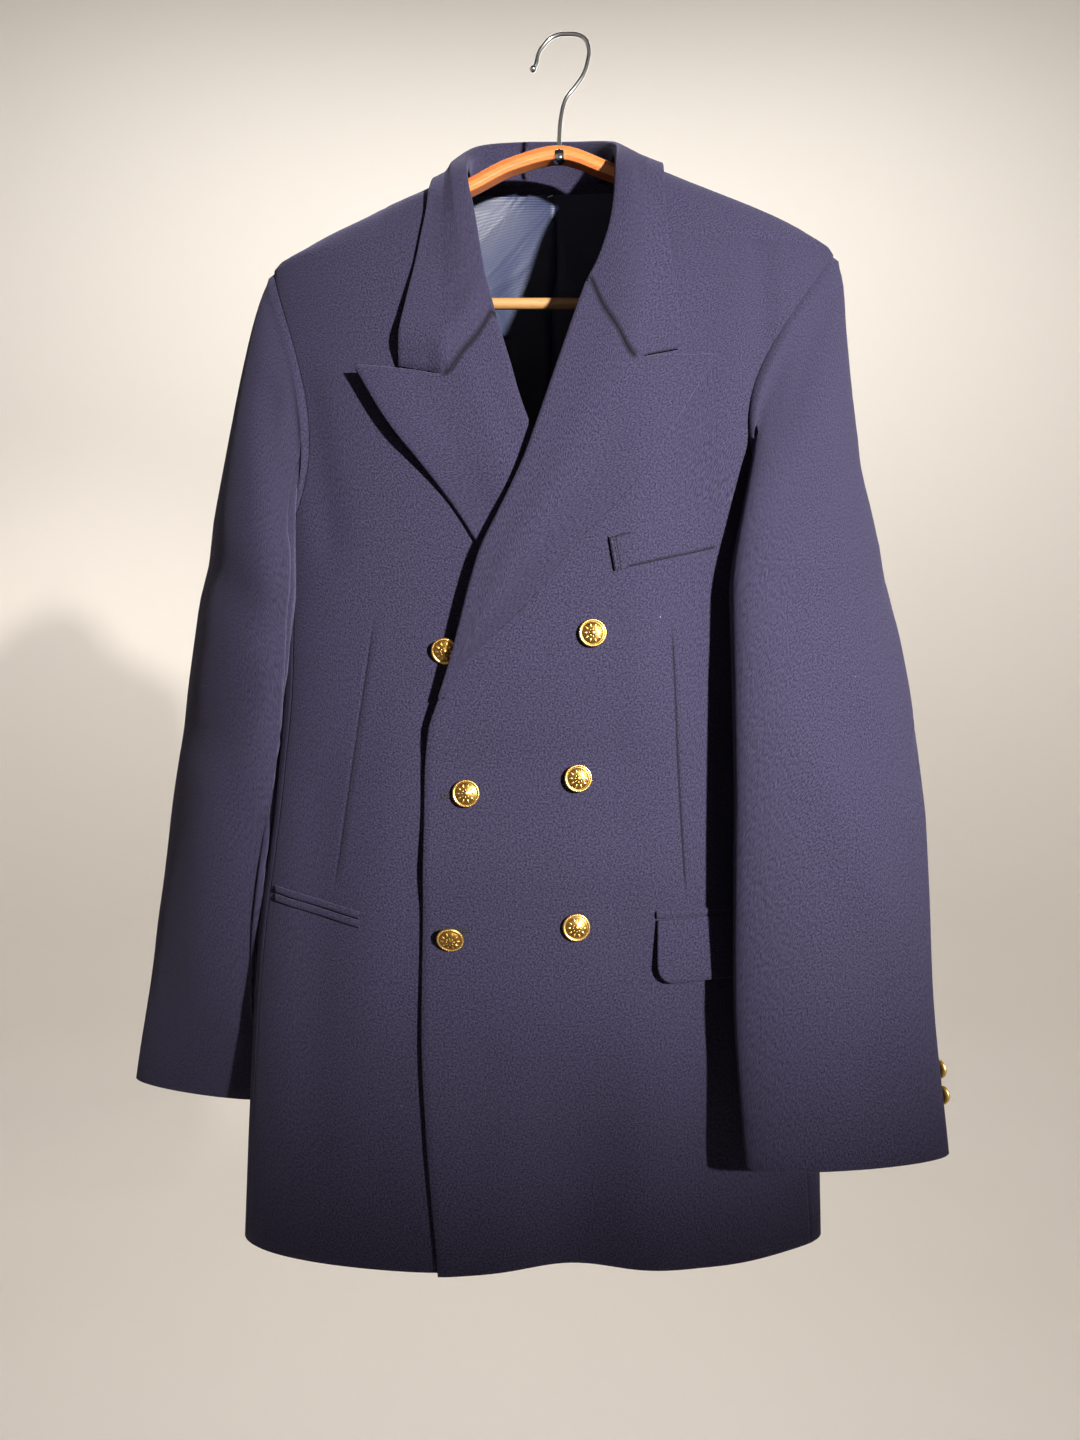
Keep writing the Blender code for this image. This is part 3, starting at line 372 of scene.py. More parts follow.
def skin(q, h):
    """The body form with its folds. q: 0 centre front, 1 side, 2 centre back, below zero on the
    wearer's right."""
    q, h = np.broadcast_arrays(np.asarray(q, float), np.asarray(h, float))
    left, right, front, back, power = [smooth(BODY, c, h) for c in range(1, 6)]
    s, c = np.sin(q * pi / 2), np.cos(q * pi / 2)
    x = (left + right) / 2 + (right - left) / 2 * np.sign(s) * np.abs(s) ** (2 / power)
    round_off = np.abs(c) ** (2 / power)
    y = np.where(c > 0, front, back) * round_off
    dip = VALLEY * np.exp(-((x - 0.006) / 0.055) ** 2) * ease(h, -0.74, HEM)
    dip = dip + 0.01 * np.exp(-((x - 0.19) / 0.04) ** 2) * ease(h, -0.5, -0.8)
    y = y + np.where(c > 0, dip * round_off, 0.0)
    z = h + TILT * (x - CENTRE_X) * ease(h, -0.6, -0.25)
    z = z + np.where(c < 0, BACK_RISE * round_off * ease(h, -0.17, NECK), 0.0)
    p = np.stack([x, y, z], axis=-1)
    p[..., 1] += ease(c, 0.05, 0.45) * folds(p, FRONT_FOLDS) - ease(-c, 0.05, 0.45) * folds(p, BACK_FOLDS)
    return p


def near_line(p, line):
    """Nearness (0 to 1) of points to a segment given as x, z, x, z, half width; level along it."""
    x0, z0, x1, z1, half = line
    run = np.array([x1 - x0, z1 - z0])
    off = np.stack([p[..., 0] - x0, p[..., 2] - z0], axis=-1)
    t = np.clip(off @ run / (run @ run), 0, 1)
    return np.exp(-np.sum((off - t[..., None] * run) ** 2, axis=-1) / half ** 2)


def folds(p, table):
    """How deep the soft folds of a table are at points."""
    return sum(near_line(p, row[:5]) * row[5] for row in table)


def normal(q, h):
    """The way out of the body form."""
    e = 1e-4
    return unit(np.cross(skin(q + e, h) - skin(q - e, h), skin(q, h + e) - skin(q, h - e)))


def body(q, h, lift=0.0):
    """A point of the body form moved out by lift."""
    q, h = np.broadcast_arrays(np.asarray(q, float), np.asarray(h, float))
    lift = np.broadcast_to(lift, q.shape)
    return skin(q, h) + normal(q, h) * lift[..., None]


def place(x, h):
    """Where round the front an x lies."""
    left, right, power = [smooth(BODY, c, h) for c in (1, 2, 5)]
    s = np.clip((x - (left + right) / 2) / ((right - left) / 2), -1, 1)
    return np.sign(s) * np.arcsin(np.abs(s) ** (power / 2)) / (pi / 2)


def stand_off(x, h):
    """Lift of the left front where it lies over the right one."""
    return smooth(OVERLAP, 1, h) * (1 - ease(x, *OVERLAP_X))


def on_front(x, h, lift, over):
    """A point on the left front (over is 1) or the right front (0), moved out by lift."""
    x, h = np.broadcast_arrays(np.asarray(x, float), np.asarray(h, float))
    return body(place(x, h), h, lift + over * stand_off(x, h))


def armhole(turn, side):
    """Place and height on the body form, turn 0 at the shoulder, pi/2 in front, pi underarm."""
    deep = np.where(np.sin(turn) >= 0, -FRONT_HOLE[side], BACK_HOLE)
    h = SHOULDER + (UNDERARM - SHOULDER) * (1 - np.cos(turn)) / 2
    return side * (1 + deep * np.abs(np.sin(turn)) * (1 - 0.25 * np.cos(turn))), h


def outer_edge(h, side, back):
    """Place of the shoulder seam, armhole or side seam of a front or back at height h."""
    share = np.clip((SHOULDER - h) / (SHOULDER - UNDERARM), 0, 1)
    turn = np.arccos(1 - 2 * share)
    q_hole = armhole(-turn if back else turn, side)[0]
    q_seam, h_seam = armhole(-SEAM_TURN if back else SEAM_TURN, side)
    q_hem = side * (HEM_BACK if back else HEM_SIDE[side])
    q_side = q_seam + (q_hem - q_seam) * np.clip((h_seam - h) / (h_seam - HEM), 0, 1)
    return np.where(h > SHOULDER, side, np.where(h >= h_seam, q_hole, q_side))


def panel_heights():
    """Rows of a front or back, with rows on the shoulder point and on the end of the armhole."""
    hole = armhole(np.linspace(0, SEAM_TURN, HOLE_STEPS + 1), 1)[1]
    down = np.linspace(hole[-1], HEM, DOWN_STEPS + 1)
    return between(np.concatenate([np.linspace(NECK, SHOULDER, 5), hole[1:], down[1:]]), FINE)


def sleeve_section(turn, z, side):
    """Points round a sleeve at height z, turn 0 on its outer face, pi/2 on its front edge."""
    cx, cy, wide, thick, yaw = [smooth(SLEEVE[side], c, z) for c in range(1, 6)]
    yaw = np.radians(yaw)
    front, out = wide * np.sin(turn), thick * np.cos(turn)
    x = cx + side * (out * np.cos(yaw) - front * np.sin(yaw))
    y = cy - out * np.sin(yaw) - front * np.cos(yaw)
    return np.stack(np.broadcast_arrays(x, y, z), axis=-1)


def off_body(p):
    """Rough distance of points outside the body form, below zero inside it."""
    z = p[..., 2] - TILT * (p[..., 0] - CENTRE_X) * ease(p[..., 2], -0.6, -0.25)
    h = z - BACK_RISE * ease(z, -0.17, NECK) * np.clip(p[..., 1] / 0.05, 0, 1)
    left, right, front, back, power = [smooth(BODY, c, h) for c in range(1, 6)]
    dx = np.abs(p[..., 0] - (left + right) / 2) / ((right - left) / 2)
    dy = np.abs(p[..., 1]) / np.where(p[..., 1] < 0, -front, back)
    return (dx ** power + dy ** power) ** (1 / power) - 1 + 25 * np.clip(h - NECK, 0, None)


def clear_of_body(p, margin):
    """Move points that lie too near the body form out to a margin from it."""
    e = 1e-4
    for _ in range(4):
        here = off_body(p)
        axes = [np.eye(3)[k] * e for k in range(3)]
        slope = np.stack([(off_body(p + a) - off_body(p - a)) / (2 * e) for a in axes], axis=-1)
        steep = np.maximum(np.linalg.norm(slope, axis=-1), 3.0)
        short = np.clip(margin - here / steep, 0, None)
        p = p + unit(slope) * short[..., None]
    return p


def between(steps, fine):
    """Each step of a row of numbers cut into finer ones."""
    at = np.linspace(0, len(steps) - 1, (len(steps) - 1) * fine + 1)
    return np.interp(at, np.arange(len(steps)), steps)


def refine(grid, rows, cols):
    """A grid of points drawn finer by a smooth curve through its rows and columns."""
    for axis, count in ((0, rows), (1, cols)):
        g = np.moveaxis(grid, axis, 0)
        slope = np.gradient(g, axis=0)
        at = np.linspace(0, len(g) - 1, (len(g) - 1) * count + 1)
        k = np.clip(at.astype(int), 0, len(g) - 2)
        g = cubic((at - k)[:, None, None], g[k], slope[k], g[k + 1], slope[k + 1])
        grid = np.moveaxis(g, 0, axis)
    return grid


def dart_columns(inner, outer, dart, h, count):
    """Shares across a front with three columns on its dart, and how deep its seam is there."""
    x0, h0, x1, h1 = dart
    x = x0 + (x1 - x0) * np.clip((h - h0) / (h1 - h0), 0, 1)
    share = np.clip((place(x, h) - inner) / (outer - inner), 0.25, 0.9)[:, None]
    wide = GROOVE_HALF / 0.2
    first = np.linspace(0, 1, count // 2)[None] * (share - wide)
    last = share + wide + np.linspace(0, 1, count - count // 2)[None] * (1 - share - wide)
    deep = np.zeros((len(h), count + 1))
    deep[:, count // 2] = GROOVE * (ease(h, h0, h0 - 0.02) * ease(h, h1, h1 + 0.02))
    return np.concatenate([first, share, last], axis=1), deep


def front_panel(side, depth=0.0, count=61):
    """A front, drawn in by depth, and how deep its dart's seam is, which also sets the painted shade along the
    dart.
    """
    h = panel_heights()
    gorge, end = GORGE[side][0][1], ROLL_END[side]
    inset = (NECK_INSET - ROLL_INSET) * ease(h, gorge, gorge + 0.03)
    inset = inset + ROLL_INSET * ease(h, end - 0.055, end - 0.01)
    x = smooth(EDGE[side], 1, h) + side * inset
    inner, outer = place(x, h), outer_edge(h, side, False)
    t, deep = dart_columns(inner, outer, DARTS[side], h, count)
    q = inner[:, None] * (1 - t) + outer[:, None] * t
    hh = np.repeat(h[:, None], count + 1, axis=1)
    lift = stand_off(skin(q, hh)[..., 0], hh) if side > 0 else 0.0
    return body(q, hh, lift - depth - deep), deep / GROOVE


def back_panel(side, depth=0.0, count=41):
    """Half of the back, drawn in by depth."""
    h = panel_heights()
    t = np.linspace(0, 1, count)
    q = side * CENTRE_BACK * (1 - t) + outer_edge(h, side, True)[:, None] * t
    return body(q, np.repeat(h[:, None], count, axis=1), -depth)


def side_panel(side, depth=0.0):
    """A side panel below its armhole, drawn in by depth."""
    turn = between(np.linspace(SEAM_TURN, 2 * pi - SEAM_TURN, SIDE_STEPS + 1), FINE)
    q_top, h_top = armhole(turn, side)
    u = np.linspace(0, 1, len(turn))
    q_hem = side * (HEM_SIDE[side] + (HEM_BACK - HEM_SIDE[side]) * u)
    v = np.linspace(0, 1, DOWN_STEPS * FINE + 1)[:, None]
    return body(q_top * (1 - v) + q_hem * v, h_top * (1 - v) + HEM * v, -depth)


def turns_round():
    """Turns round an armhole that meet the rows of the fronts, backs and side panels."""
    hole = np.linspace(0, SEAM_TURN, HOLE_STEPS + 1)
    under = np.linspace(SEAM_TURN, 2 * pi - SEAM_TURN, SIDE_STEPS + 1)
    return between(np.concatenate([hole, under[1:-1], 2 * pi - hole[::-1]]), SLEEVE_FINE)


def sleeve_grids(side):
    """Whole sleeve: outer points, the way out at each, both with the soft folds."""
    turns = turns_round()
    q, h = armhole(turns, side)
    start = body(q, h)
    top, end = SLEEVE[side][0][0], SLEEVE[side][-1][0]
    first = sleeve_section(turns, top, side)
    below = sleeve_section(turns, top - 0.03, side)
    under = (1 - np.cos(turns))[:, None] / 2
    reach = np.linalg.norm(first - start, axis=-1, keepdims=True)
    leave = unit(np.stack([side * np.ones_like(turns), -0.25 * np.sin(turns),
                           -0.9 + 0.6 * under[:, 0]], axis=-1)) * (0.085 - 0.055 * under)
    arrive = unit(below - first) * reach * (1.0 - 0.2 * under)
    rows = []
    for t in np.linspace(0, 1, 7 * SLEEVE_FINE + 1):
        p = cubic(t, start, leave, first, arrive)
        rows.append(p if t == 0 else clear_of_body(p, CLEAR))
    for z in np.linspace(top, end, 10 * SLEEVE_FINE + 1)[1:]:
        rows.append(clear_of_body(sleeve_section(turns, z, side), CLEAR))
    grid = np.stack(rows)
    out = ways_out(grid, turns, side)
    deep = 1.5 * ease(-out[..., 1], -0.1, 0.4) * folds(grid, SLEEVE_FOLDS[side])
    deep = deep + ease(out[..., 1], -0.1, 0.4) * folds(grid, FAR_FOLDS[side])
    grid = grid - out * (deep * ease(np.arange(len(grid)), 0, 6)[:, None])[..., None]
    return grid, ways_out(grid, turns, side)


def ways_out(grid, turns, side):
    """The way out of a sleeve at each point of its grid."""
    around = (np.roll(grid[:, :-1], -1, axis=1) - np.roll(grid[:, :-1], 1, axis=1)) * side
    around = np.concatenate([around, around[:, :1]], axis=1)
    out = unit(np.cross(around, np.gradient(grid, axis=0)))
    away = ease(np.minimum(turns, 2 * pi - turns), 1.0, 2.2)[:, None]
    out[0] = unit(normal(*armhole(turns, side)) * (1 - away) + out[0] * away)
    return out


def sleeve(side, first, last):
    """Outer and inner grids of the part of a sleeve between two of the CAD's steps round it."""
    grid, out = sleeve_grids(side)
    steps = np.arange(first * SLEEVE_FINE, last * SLEEVE_FINE + 1) % (grid.shape[1] - 1)
    return grid[:, steps], grid[:, steps] - out[:, steps] * CLOTH


def along_corner(points, t):
    """Shares t of the way along a line of two straight runs, its corner at the middle share."""
    pts = np.array(points, float)
    first = pts[0] + (pts[1] - pts[0]) * np.clip(t * 2, 0, 1)[:, None]
    return first + (pts[2] - pts[1]) * np.clip(t * 2 - 1, 0, 1)[:, None]


def grid_normals(grid):
    """The way out of a grid at each point."""
    return unit(np.cross(np.gradient(grid, axis=0), np.gradient(grid, axis=1)))


def seam_inset(grid, draw):
    """Draw the four edges of a grid in, within its surface."""
    m, n = grid.shape[:2]
    shift = np.zeros_like(grid)
    loop = edge_loop(m, n)
    for here, ahead in zip(loop, loop[1:] + loop[:1]):
        step = np.array(ahead) - here
        inward = np.array([step[1], -step[0]])
        inner = grid[tuple(here + inward)] + grid[tuple(ahead + inward)] - grid[here] - grid[ahead]
        run = unit(grid[ahead] - grid[here])
        across = unit(inner - run * np.dot(inner, run))
        shift[here] += across * draw
        shift[ahead] += across * draw
    return grid + shift


def edge_loop(m, n):
    """Places round the edge of a grid, in order."""
    loop = [(0, j) for j in range(n)] + [(i, n - 1) for i in range(1, m)]
    return loop + [(m - 1, j) for j in range(n - 2, -1, -1)] + [(i, 0) for i in range(m - 2, 0, -1)]


def lengths(grid):
    """Distances along the rows and the columns of a grid, from its middle."""
    across = np.linalg.norm(np.diff(grid, axis=1), axis=-1)
    down = np.linalg.norm(np.diff(grid, axis=0), axis=-1)
    u = np.concatenate([np.zeros((len(grid), 1)), np.cumsum(across, axis=1)], axis=1)
    v = np.concatenate([np.zeros((1, grid.shape[1])), np.cumsum(down, axis=0)], axis=0)
    return u - u[:, grid.shape[1] // 2][:, None], v


def closed_mesh(name, verts, faces):
    """A smooth mesh with all its faces turned outwards."""
    mesh = bpy.data.meshes.new(name)
    mesh.from_pydata([tuple(v) for v in verts], [], faces)
    work = bmesh.new()
    work.from_mesh(mesh)
    bmesh.ops.recalc_face_normals(work, faces=work.faces)
    work.to_mesh(mesh)
    work.free()
    mesh.shade_smooth()
    return mesh


def cloth(node, outer, inner, rests_on, name=None, finish=SERGE, slot="worsted", seam=None, grain=0.0,
          layers=1, edge=0.6):
    """A closed piece of cloth between two grids, with rounded raw edges, a UV map in metres along its own
    weave, and an attribute that paints shade on its seams, grooves and rims. It stands for one CAD node."""
    m, n = outer.shape[:2]
    outer, inner = seam_inset(outer, GAP / 2), seam_inset(inner, GAP / 2)
    loop = edge_loop(m, n)
    ring = np.array([(outer[k] + inner[k]) / 2 for k in loop])
    thick = outer - inner
    rim = []
    for k, (i, j) in enumerate(loop):
        run = ring[(k + 1) % len(loop)] - ring[k - 1]
        away = unit(np.cross(run, thick[i, j]))
        step = outer[i, j] - outer[min(max(i, 1), m - 2), min(max(j, 1), n - 2)]
        if np.dot(away, step) < 0:
            away = -away
        rim.append(ring[k] + away * (np.linalg.norm(thick[i, j]) * EDGE_ROUND))
    verts = np.concatenate([outer.reshape(-1, 3), inner.reshape(-1, 3), np.array(rim)])
    at = np.arange(m * n).reshape(m, n)
    top = np.stack([at[:-1, :-1], at[1:, :-1], at[1:, 1:], at[:-1, 1:]], axis=-1).reshape(-1, 4)
    faces = top.tolist() + (top[:, ::-1] + m * n).tolist()
    border = [int(at[k]) for k in loop]
    for k in range(len(loop)):
        a, b = border[k], border[(k + 1) % len(loop)]
        p, q = 2 * m * n + k, 2 * m * n + (k + 1) % len(loop)
        faces += [[a, b, q, p], [p, q, b + m * n, a + m * n]]
    name = name or "cloth_" + node
    mesh = closed_mesh(name, verts, faces)
    u, v = lengths(outer)
    turn = np.array([[cos(grain), sin(grain)], [-sin(grain), cos(grain)]])
    flat = np.stack([u, v], axis=-1).reshape(-1, 2) @ turn
    flat = np.concatenate([flat, flat, flat[border]])
    # Painted shade: the seam share darkens seams, grooves and the gorge; the rims take the share given in edge
    painted_shade = np.zeros(m * n) if seam is None else np.clip(seam, 0, 1).reshape(-1)
    painted_shade = np.concatenate([painted_shade, np.zeros(m * n), np.ones(len(loop)) * edge])
    attribute = mesh.attributes.new("seam", "FLOAT", "POINT")
    attribute.data.foreach_set("value", painted_shade.astype(np.float32))
    layer = mesh.uv_layers.new(name="weave")
    corner = np.zeros(len(mesh.loops), np.int32)
    mesh.loops.foreach_get("vertex_index", corner)
    layer.data.foreach_set("uv", flat[corner].astype(np.float32).ravel())
    obj = piece(name, mesh, finish, slot, node)
    return obj


def piece(name, mesh, finish, slot, *nodes):
    """An object of one mesh, riding on the body and standing for CAD nodes."""
    mesh.materials.clear()
    mesh.materials.append(bpy.data.materials[finish])
    obj = bpy.data.objects.new(name, mesh)
    bpy.context.scene.collection.objects.link(obj)
    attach(obj, "root")
    if nodes:
        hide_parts(*nodes)
    return obj


def laid_cloth(node, outer, thick, rests_on, **more):
    """A piece that lies on a front, its thickness taken from its own surface."""
    way = grid_normals(outer)
    if np.sum(way[..., 1]) > 0:
        way = -way
    cloth(node, outer, outer - way * thick, rests_on, **more)


def lapel_thin(v):
    """The lapel thins away over its last part, down to the first fastened button."""
    return 1 - 0.84 * ease(v, 0.8, 1.0)


def lapel(side, rows=15, cols=7):
    """Turned lapel: a rolled edge on the roll line, then the face lying on the front."""
    gorge, end = GORGE[side], ROLL_END[side]
    v = np.linspace(0, 1, rows)
    t = np.linspace(0, 1, cols)
    h_roll = gorge[0][1] + (end - gorge[0][1]) * v
    x = smooth(EDGE[side], 1, h_roll) + side * ROLL_INSET * ease(v, 0.8, 1.0)
    roll = np.stack([x, h_roll], axis=-1)
    rim = along(OUTER[side], v)
    top = along_corner(gorge, t)
    inner = roll + np.array([side * 0.0036, 0.0])
    flat = inner[:, None] * (1 - t)[:, None] + rim[:, None] * t[:, None]
    bend = top - (np.outer(1 - t, inner[0]) + np.outer(t, rim[0]))
    bend[0] = 0.0
    flat = flat + bend[None] * ((1 - v) ** 3)[:, None, None]
    wide = np.clip(np.linalg.norm(rim - roll, axis=1) / 0.06, 0, 1)
    lift = TURNED + 0.0018 + np.outer(wide, 0.003 * np.sin(pi * np.clip(t * 1.25, 0, 1)) ** 2)
    lift = lift * lapel_thin(v)[:, None]
    lift = lift + np.outer(1 - ease(v, *STANDS_UNTIL[side]), EDGE_STANDS[side] * ease(t, 0.45, 1.0))
    face = on_front(flat[..., 0], flat[..., 1], lift, max(side, 0))
    curl = []
    for shift, up in ((0.0, -0.0012), (-0.001, 0.001), (0.0006, 0.0032)):
        x = roll[:, 0] + side * shift
        curl.append(on_front(x, roll[:, 1], up * lapel_thin(v), max(side, 0)))
    face[:, 0] = on_front(roll[:, 0] + side * 0.0036, roll[:, 1], 0.004 * lapel_thin(v), max(side, 0))
    return np.concatenate([np.stack(curl, axis=1), face], axis=1)


def gorge_seam_shade(fine, shared, *rows):
    """Painted shade on end rows of a refined lapel or collar, along the gorge seam up to the notch."""
    shade_marks = np.zeros(fine.shape[:2])
    for row in rows:
        shade_marks[row, :(shared - 1) * FINE + 1] = 1.0
    return shade_marks


def collar(rows=31, cols=7):
    """One collar from notch to notch: stand sewn to the back neck, fold, fall outside."""
    u = np.linspace(0, 1, rows)
    fold = along(FOLD, u)
    line = [on_front(x, h, 0.004, 1) for x, h in FALL]
    line += [np.array(p) for p in FALL_BACK]
    line += [on_front(x, h, 0.004, 0) for x, h in FALL_RIGHT]
    rim = along(line, u)
    out = fold - np.array([CENTRE_X - 0.01, 0.01, 0.0])
    out[:, 2] = 0
    out = unit(out)
    drop = smooth(STAND, 1, u)[:, None]
    down = unit(np.cross(np.gradient(fold, axis=0), out))
    columns = [fold + out * shift + down * (drop * share + 0.0008)
               for share, shift in ((1.0, -0.0026), (0.55, -0.003), (0.1, -0.0022))]
    columns.append(fold + out * 0.002 - down * 0.0016)
    for k in np.linspace(0, 1, cols)[1:]:
        bulge = 0.009 * (1 - k) + 0.008 * np.sin(pi * k) * ease(np.minimum(u, 1 - u), 0.22, 0.42)
        columns.append(fold * (1 - k) + rim * k + out * bulge[:, None])
    grid = np.stack(columns, axis=1)
    neck = np.concatenate([back_panel(-1, CLOTH)[0][::-1], back_panel(1, CLOTH)[0]])
    sewn = ease(u, 0.3, 0.37) * (1 - ease(u, 0.63, 0.7))
    for axis, above in ((1, 0.0), (2, 0.0004)):
        seam = np.interp(grid[:, 0, 0], neck[:, 0], neck[:, axis]) + above
        grid[:, 0, axis] += (seam - grid[:, 0, axis]) * sewn
    t = np.linspace(0, 1, cols)
    for row, side, corner in ((0, 1, FALL[0]), (rows - 1, -1, FALL_RIGHT[-1])):
        end = lapel(side)[0]
        flat = along_corner((*GORGE[side][:2], corner), t)[cols // 2 + 1:]
        end[4 + cols // 2:] = on_front(flat[:, 0], flat[:, 1], TURNED + 0.0018, max(side, 0))
        shift = end - grid[row]
        for near in range(8):
            grid[row + near * side] += shift * (1 - near / 8) ** 2
    off = 0.0047 + stand_off(grid[..., 0], grid[..., 2]) * (grid[..., 1] < 0)
    cleared = clear_of_body(grid, off)
    grid[1:-1, 4:] = cleared[1:-1, 4:]
    return grid


def jet(node, cols=61):
    """A jet of a pocket: a folded strip, so it is cut twice as long as it shows."""
    x0, x1, top, foot, over = JETS[node]
    u = np.linspace(0, 1, cols)
    rows = []
    for share, lift in JET_ROLL:
        start, end = [top[k] + (foot[k] - top[k]) * share for k in (0, 1)]
        rows.append(on_front(x0 + (x1 - x0) * u, start + (end - start) * u, lift * np.ones(cols), over))
    laid_cloth(node, np.stack(rows), JET_THICK, ["front_left" if over else "front_right"], layers=2)


def flap(rows=19, cols=57):
    """Pocket flap hanging out from under the jet, with rounded lower corners."""
    u = 0.6 * (0.5 - 0.5 * np.cos(np.linspace(0, pi, cols))) + np.linspace(0, 1, cols) * 0.4
    near = np.clip(np.minimum(u, 1 - u) * FLAP_WIDE / FLAP_ROUND, 0, 1)
    short = FLAP_ROUND * (1 - np.sqrt(1 - (1 - near) ** 2))
    grid = []
    for k in np.linspace(0, 1, rows):
        h = FLAP_TOP + FLAP_RISE * u - (FLAP_DEEP - short) * k
        grid.append(on_front(FLAP_X + FLAP_WIDE * u, h, (0.003 + 0.005 * k) * np.ones_like(u), 1))
    return np.stack(grid)


def welt():
    """Pressed flat: only its turned end stands up, and painted shade draws lines along the seam at its foot,
    beside and over its turned end and down its left edge.
    """
    u = np.concatenate([[0.0, 0.004, 0.02, 0.045, 0.065, 0.073, 0.078, 0.086], np.linspace(0.11, 1.0, 50)])
    x0, x1, top0, top1, foot0, foot1 = WELT
    turn = WELT_TURN / (x1 - x0)
    end = 1 - ease(u, turn - 0.006, turn + 0.003)
    groove_shade = np.exp(-((u - turn - 0.004) / 0.006) ** 2)
    rows, shade_marks = [], []
    for v in (0.0, 0.03, 0.1, 0.3, 0.6, 0.88, 0.96, 1.0):
        x = x0 + (x1 - x0) * u + WELT_SKEW * v * (1 - u)
        h = (top0 + (top1 - top0) * u) * (1 - v) + (foot0 + (foot1 - foot0) * u) * v
        rim = ease(np.minimum(v, 1 - v), 0.0, 0.05)
        lift = 0.0005 + 0.002 * end * rim
        rows.append(on_front(x, h, lift, 1))
        # Painted shade: the foot's seam line, the line beside the turned end, the top of that end and the left
        # edge
        seam = ease(v, 0.88, 1.0) * (1 - end) * ease(u, 0.1, 0.16) + groove_shade
        short = (1 - ease(v, 0.0, 0.1)) * (1 - ease(u, 0.16, 0.24))
        shade_marks.append(np.clip(seam + short + np.exp(-(u / 0.008) ** 2), 0, 1))
    return np.stack(rows), np.stack(shade_marks)


def lining_panel(side, depth=0.0, count=37):
    """Half of the back lining, its top edge tucked up to the cloth."""
    h = between(np.linspace(LINING[0], LINING[1], 17), FINE)
    outer = side * CENTRE_BACK + (outer_edge(h, side, True) - side * CENTRE_BACK) * LINING_REACH
    t = np.linspace(0, 1, count)
    q = side * CENTRE_BACK * (1 - t) + outer[:, None] * t
    start = CLOTH + 0.001
    inset = start + (LINING[2] - start) * ease(LINING[0] - h, 0.0, 0.03)[:, None]
    hh = np.repeat(h[:, None], count, axis=1)
    near_centre = np.exp(-(t / 0.1) ** 2)[None] * ease(LINING[0] - hh, 0.0, 0.02)
    inset = inset + 0.0018 * near_centre * (side > 0)
    inset = inset - folds(skin(q, hh), LINING_FOLDS) * ease(LINING[0] - hh, 0.0, 0.006)
    return body(q, hh, -inset - depth)


def turned_mesh(profile, steps):
    """Closed turned mesh of a profile of (out, up)."""
    rings = [p for p in profile if p[0] > 0]
    verts = [(0.0, 0.0, profile[0][1])]
    for out, up in rings:
        for k in range(steps):
            verts.append((out * cos(2 * pi * k / steps), out * sin(2 * pi * k / steps), up))
    verts.append((0.0, 0.0, profile[-1][1]))
    faces = []
    for k in range(steps):
        n = (k + 1) % steps
        faces.append((0, 1 + n, 1 + k))
        for r in range(len(rings) - 1):
            a = 1 + r * steps
            faces.append((a + k, a + n, a + steps + n, a + steps + k))
        last = 1 + (len(rings) - 1) * steps
        faces.append((last + k, last + n, len(verts) - 1))
    return closed_mesh("turned", verts, faces)


def standing(way):
    """Turn that stands +Z along a way, with +X level."""
    way = unit(np.asarray(way, float))
    side = unit(np.cross((0.0, 0.0, 1.0), way))
    return np.stack([side, np.cross(way, side), way], axis=1)


def joined(name, parts):
    """One mesh of several (mesh, 3 by 3 turn and size, place)."""
    work = bmesh.new()
    for mesh, turn, at in parts:
        copy = mesh.copy()
        world = np.eye(4)
        world[:3, :3], world[:3, 3] = turn, at
        copy.transform(Matrix(world.tolist()))
        work.from_mesh(copy)
        bpy.data.meshes.remove(copy)
    out = bpy.data.meshes.new(name)
    work.to_mesh(out)
    work.free()
    out.shade_smooth()
    return out


def mark_hollow_shade(mesh):
    """Mark the ground between the raised parts of a button's face, and the channel inside its rim, for painted
    shade.
    """
    at = np.zeros(len(mesh.vertices) * 3, np.float32)
    mesh.vertices.foreach_get("co", at)
    out, up = np.hypot(at[0::3], at[1::3]), at[2::3]
    rows = sorted(p for p in FACE if p[1] > 0.28)
    ground = np.interp(out, [p[0] for p in rows], [p[1] for p in rows])
    low = (up < ground + 0.006) * (1 - ease(out, 0.78, 0.86)) + np.exp(-((out - 0.81) / 0.03) ** 2)
    hollow_shade = mesh.attributes.new("hollow_shade", "FLOAT", "POINT")
    hollow_shade.data.foreach_set("value", np.clip(low, 0, 1).astype(np.float32))


def tree_of(name, inputs):
    """A Geometry Nodes tree with a geometry input and named number inputs."""
    tree = bpy.data.node_groups.new(name, "GeometryNodeTree")
    tree.interface.new_socket("Geometry", in_out="INPUT", socket_type="NodeSocketGeometry")
    for label, kind, value in inputs:
        socket = tree.interface.new_socket(label, in_out="INPUT", socket_type="NodeSocket" + kind)
        socket.default_value = value
    tree.interface.new_socket("Geometry", in_out="OUTPUT", socket_type="NodeSocketGeometry")
    return tree, tree.nodes.new("NodeGroupInput"), tree.nodes.new("NodeGroupOutput")


def add_node(tree, kind, inputs=None, out=0, **settings):
    """Add a node with its settings, values and links; returns one of its outputs."""
    node = tree.nodes.new(kind)
    for key, value in settings.items():
        setattr(node, key, value)
    for key, value in (inputs or {}).items():
        if isinstance(value, bpy.types.NodeSocket):
            tree.links.new(value, node.inputs[key])
        else:
            node.inputs[key].default_value = value
    return node.outputs[out]


def end_tree(tree, shapes, given, out):
    """End a tree with real geometry that has its finish."""
    real = add_node(tree, "GeometryNodeRealizeInstances", {"Geometry": shapes})
    done = add_node(tree, "GeometryNodeSetMaterial", {"Geometry": real, "Material": given["Finish"]})
    tree.links.new(done, out.inputs["Geometry"])


